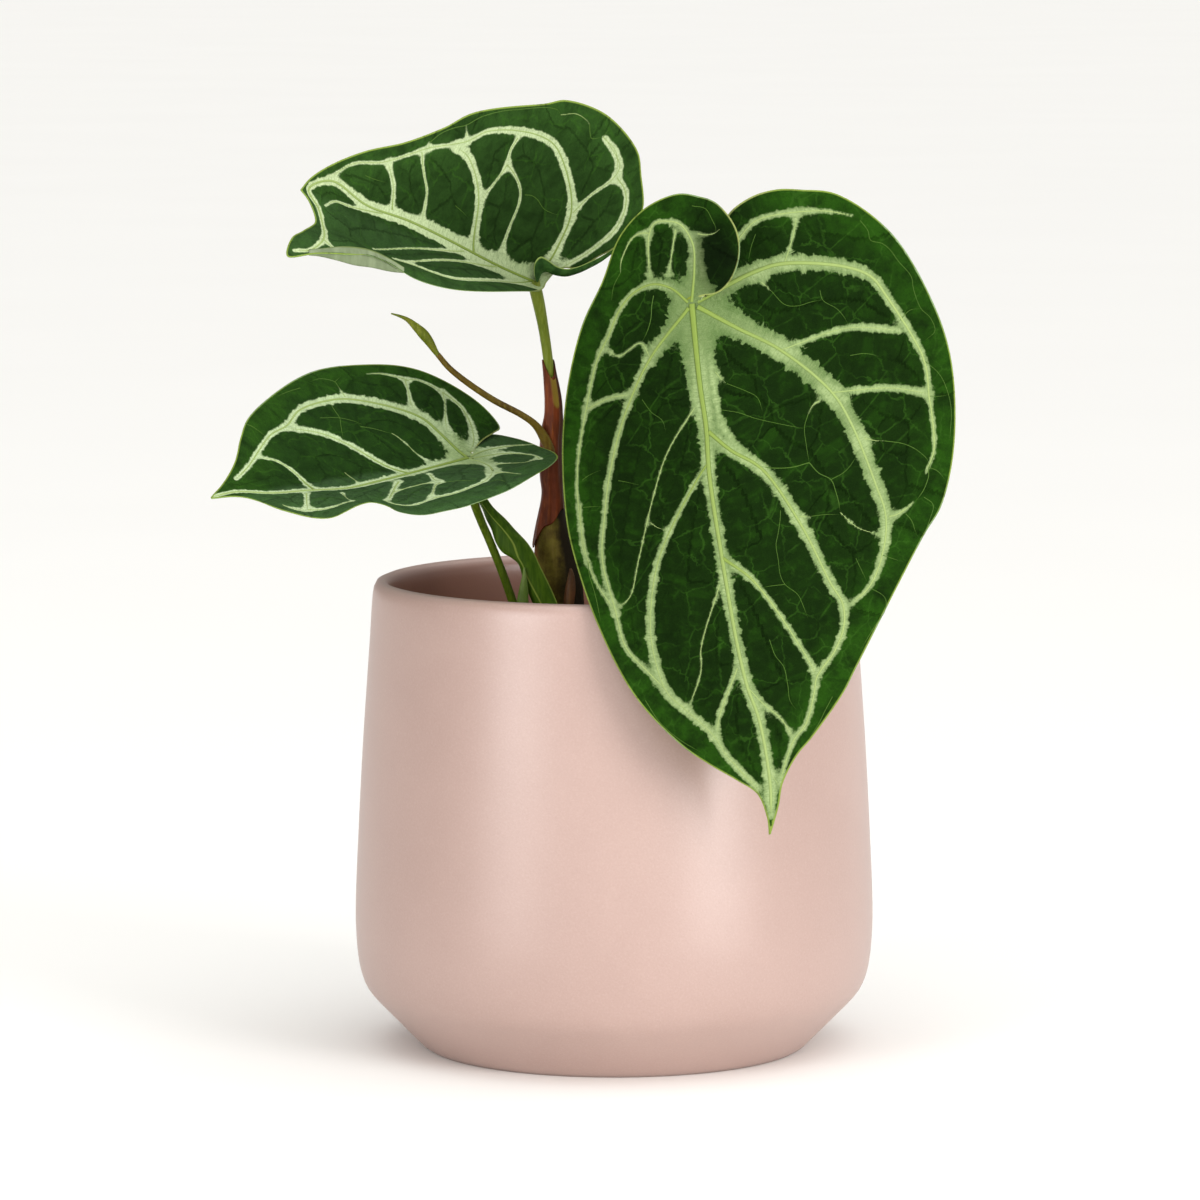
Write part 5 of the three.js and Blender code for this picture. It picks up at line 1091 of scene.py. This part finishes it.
def make_bar(name, stations, finish, node, sides=24):
    """A closed bar: at each place along the curve through the stations, an oval ring of the half
    width and half depth there. 'round' is how far round its ring a point lies."""
    path = even_curve(stations, 0.8)
    place, half = path[:, None, :3], path[:, 3:]
    along = unit(np.gradient(path[:, :3], axis=0))
    side = unit(np.array([1.0, 0, 0]) - along * along[:, :1])
    back = np.cross(along, side)
    turn = np.linspace(0, 2 * np.pi, sides, endpoint=False)[None]
    ring = (place + side[:, None] * (half[:, :1] * np.cos(turn))[..., None]
            + back[:, None] * (half[:, 1:] * np.sin(turn))[..., None])
    points, faces = closed_tube(ring, place[0], place[-1])
    add_piece(name, points, faces, finish, [node],
              {"round": np.r_[np.tile(turn[0] / (2 * np.pi), len(path)), 0, 0]})


def wrapped_sheath(name, stations, finish, node):
    """A dry sheath wound once round: a thin wall whose turn starts under its own end, creased
    along its length, with a slanting foot and a top edge drawn out to a point on each side."""
    path = even_curve(stations, 0.5)
    rows, columns = len(path), 100
    u = np.linspace(0, 1, rows)[:, None]
    a = np.linspace(0, 1, columns)[None]
    turn = -0.9 - a * (2 * np.pi + 0.6)
    foot = 0.02 + 0.22 * np.sqrt(0.5 + 0.499 * np.cos(turn)) + 0.012 * np.sin(5 * turn)
    top = 0.95 + 0.045 * np.cos(2 * turn - 0.5) - 0.02 * ramp((0.12 - a) / 0.12)
    at = (foot + (top - foot) * u) * (rows - 1)
    x, y, z, width, depth = [np.interp(at, np.arange(rows), column) for column in path.T]
    crease = 1 + 0.035 * np.sin(turn * 5 + 3 * u) + 0.025 * np.sin(turn * 9 - 4 * u + 1)
    flare = 1 + 0.05 * ramp((u - 0.9) / 0.1)
    layers = []
    for inset in (0.0, DRY_WALL):
        gap = 0.3 * (1 - a) - inset
        layers.append(np.stack([x + (width * crease * flare + gap) * np.cos(turn),
                                y + (depth * crease * flare + gap) * np.sin(turn), z],
                               -1).reshape(-1, 3))
    spread = lambda share: np.tile(np.broadcast_to(share, (rows, columns)).ravel(), 2)
    flap = np.exp(-(a / 0.12)**2) * ramp((u - 0.74) / 0.1)
    add_piece(name, np.vstack(layers), two_faced(grid_faces(rows, columns)[:, ::-1], rows * columns),
              finish, [node], {"golden": spread(flap), "across": spread(np.cos(turn))})


def folded_sheath(name, stations, finish, node):
    """A strap folded along its length: from its left edge the section runs forward to a soft
    fold and back to the right edge. 'lit_crest' is 1 on the fold and the right edge in front, where
    a highlight is painted."""
    path = even_curve(np.asarray(stations)[:, [4, 0, 1, 2, 3]], 0.6)
    z, left, fold, right, depth = path.T[:, :, None]
    s = np.linspace(0, 1, 17)[None]
    x = np.where(s < 0.5, left + (fold - left) * 2 * s, fold + (right - fold) * (2 * s - 1))
    side = np.abs(2 * s - 1)
    lift = STRAP_FOLD * (1 - np.sqrt(side**2 + 0.02)) + 0.35 * np.sin(np.pi * side)
    points, faces = thin_strip(np.stack([x, depth - lift, z + 0 * s], -1), STRAP_WALL)
    lit_crest = np.exp(-((2 * s[0] - 1) / 0.09)**2) + np.exp(-((1 - s[0]) / 0.03)**2)
    lit_crest = np.tile(np.r_[lit_crest, 0 * lit_crest], len(path))
    add_piece(name, points, faces, finish, [node], {"lit_crest": np.r_[lit_crest, 0, 0]})


def turned_margin(name, stations, finish):
    """A turned-over strip of margin: between its lower and upper line the section bulges forward
    by half a sine wave. 'rim' is 1 along the upper line."""
    path = even_curve(np.asarray(stations, float).reshape(len(stations), 6), 0.5)
    s = np.linspace(0, 1, 11)[None, :, None]
    high, low = path[:, None, :3], path[:, None, 3:]
    front = low + (high - low) * s - np.array([0, MARGIN_BULGE, 0]) * np.sin(np.pi * s)
    points, faces = thin_strip(front, MARGIN_WALL)
    rim = ramp((s.ravel() - 0.8) / 0.2)
    rim = np.tile(np.r_[rim, rim[::-1]], len(path))
    add_piece(name, points, faces, finish, readings={"rim": np.r_[rim, 0, 0]})


# ---- floor, light and camera -----------------------------------------------------------------
def make_floor():
    """Wide pale sheet that the pot stands on."""
    f = Finish("pale paper", specular=0.1, roughness=0.9)
    mesh = bpy.data.meshes.new("floor")
    side = 30.0
    mesh.from_pydata([(-side, -side, 0), (side, -side, 0), (side, side, 0), (-side, side, 0)], [],
                     [(0, 1, 2, 3)])
    mesh.materials.append(f.done(f.blend(f.noise(f.place(), 3.0), (248, 247, 244), (251, 250, 247))))
    floor = link("floor", mesh)


def area_light(name, place, size, power):
    """Soft box at a place, turned towards the plant; in metres."""
    light = bpy.data.lights.new(name, "AREA")
    light.shape, light.size, light.size_y = "RECTANGLE", size[0], size[1]
    light.energy = power
    lamp = link(name, light)
    lamp.location = place
    way = np.array(LIGHT_AIM) - np.array(place)
    lamp.rotation_euler = (math.atan2(math.hypot(way[0], way[1]), -way[2]), 0,
                           math.atan2(way[0], -way[1]) + math.pi)


def make_studio():
    """White surround, brighter overhead and weaker far left, far right and behind, with a large
    softbox at each side and a weak one in front."""
    scene = bpy.context.scene
    scene.view_settings.view_transform = "Standard"
    scene.view_settings.look = "None"
    scene.view_settings.exposure = 0.0
    world = bpy.data.worlds.new("bright overhead surround")
    world.use_nodes = True
    w = Nodes(world.node_tree)
    way = w.node("ShaderNodeTexCoord").outputs["Generated"]
    axes = w.node("ShaderNodeSeparateXYZ", {0: way}).outputs
    strength = w.step(axes["Z"], 0.4, 1.0, WORLD_HIGH, WORLD_LOW)
    for axis, low, high, start, end in (("X", -0.9, -0.25, 0.2, 1.0), ("X", 0.6, 1.0, 1.0, 0.5),
                                        ("Y", 0.2, 0.9, 1.0, 0.3)):
        strength = w.math("MULTIPLY", strength, w.step(axes[axis], low, high, end, start))
    back = world.node_tree.nodes["Background"]
    back.inputs["Color"].default_value = (1.0, 0.997, 0.985, 1)
    w.feed(back.inputs["Strength"], strength)
    scene.world = world
    area_light("right softbox", (1.2, -1.2, 0.42), (0.7, 0.8), 20)
    area_light("left softbox", (-1.18, -1.22, 0.42), (0.7, 0.8), 12.3)
    area_light("front softbox", (0.0, -1.7, 0.42), (0.9, 0.6), 1.5)


def make_camera():
    """Camera at the height and distance that the framing needs, looking slightly down."""
    data = bpy.data.cameras.new("camera")
    data.sensor_width = 36.0
    data.lens = data.sensor_width * FOCAL_PIXELS / IMAGE_SIDE
    data.clip_end = 100.0
    camera = link("camera", data)
    camera.location = [c * MM for c in CAMERA_PLACE]
    camera.rotation_euler = (math.radians(90 - CAMERA_DOWN), 0, 0)
    bpy.context.scene.camera = camera


make_camera()
make_studio()
make_floor()
make_pot(pot_glaze())
make_mix(bark_mix())
scatter("bark_chips", bark_chip(), count=420, sizes=(2.2, 5.2, 0.25, 0.5), seed=11)
scatter("mineral_grains", pumice(), count=150, sizes=(0.9, 2.0, 0.7, 1.0), seed=12)

ridge_look = vein_ridge()
# Colours of the deep and vivid green, of the chalk and the webbing of the bands, bloom and the
# painted sheen of the half seen along its nap.
for leaf_name, leaf, looks in (
        ("front", FRONT, ((15, 34, 5), (31, 65, 10), (146, 164, 112), (104, 124, 76), 2.2, 0.0)),
        # The top blade's greens are greyer, partly its own colour and partly painted sheen of its velvet
        # seen at a slant.
        ("top", TOP, ((32, 55, 20), (43, 72, 27), (178, 193, 148), (146, 166, 116), 0.9, 0.15)),
        ("left", LEFT, ((28, 52, 17), (38, 70, 18), (180, 198, 154), (146, 166, 116), 1.1, 0.4))):
    node = "blade_" + leaf_name
    surface = blade(node, leaf, velvet_leaf(f"velvet of the {leaf_name} blade", *looks))
    ridges(node + "_ridges", leaf, surface, ridge_look)

turned_margin("top_curl", TOP_CURL, turned_green())
turned_margin("top_lip", TOP_LIP, turned_pale())

smooth = {"streak_scale": (1500, 1500, 80), "roughness": 0.42}
olive = fibrous("smooth olive stalk", (96, 110, 26), (112, 124, 36), (138, 150, 60), **smooth)
dark_olive = fibrous("dark olive stalk", (88, 110, 16), (70, 92, 12), (126, 146, 44), **smooth)
light_green = fibrous("light green sheath", (92, 118, 44), (108, 132, 60), (146, 164, 96))
dry_pink = fibrous("dry pink bract", (96, 60, 32), (66, 42, 20), (132, 96, 58))
olive_brown = fibrous("olive brown stalk", (104, 84, 18), (80, 58, 12), (138, 124, 44))
young_green = fibrous("young leaf green", (84, 96, 14), (104, 106, 20), (140, 146, 48))
make_bar("stem_knotted", STEM, stem_skin(), "stem", sides=40)
wrapped_sheath("sheath_wrapped", SHEATH_UPPER, dry_sheath(), "sheath_upper")
make_bar("petiole_top_round", PETIOLE_TOP, olive, "petiole_top")
make_bar("petiole_left_round", PETIOLE_LEFT, dark_olive, "petiole_left")
make_bar("petiole_front_round", PETIOLE_FRONT, olive, "petiole_front")
folded_sheath("strap_folded", STRAP_SHEATH, lined_sheath(), "sheath_strap")
make_bar("sliver_green", SLIVER_SHEATH, light_green, "sheath_sliver")
make_bar("bract_dry", BASE_BRACT, dry_pink, "bract_base")
make_bar("young_stalk_round", YOUNG_STALK, olive_brown, "young_stalk")
make_bar("young_leaf_rolled", YOUNG_LEAF, young_green, "young_leaf")
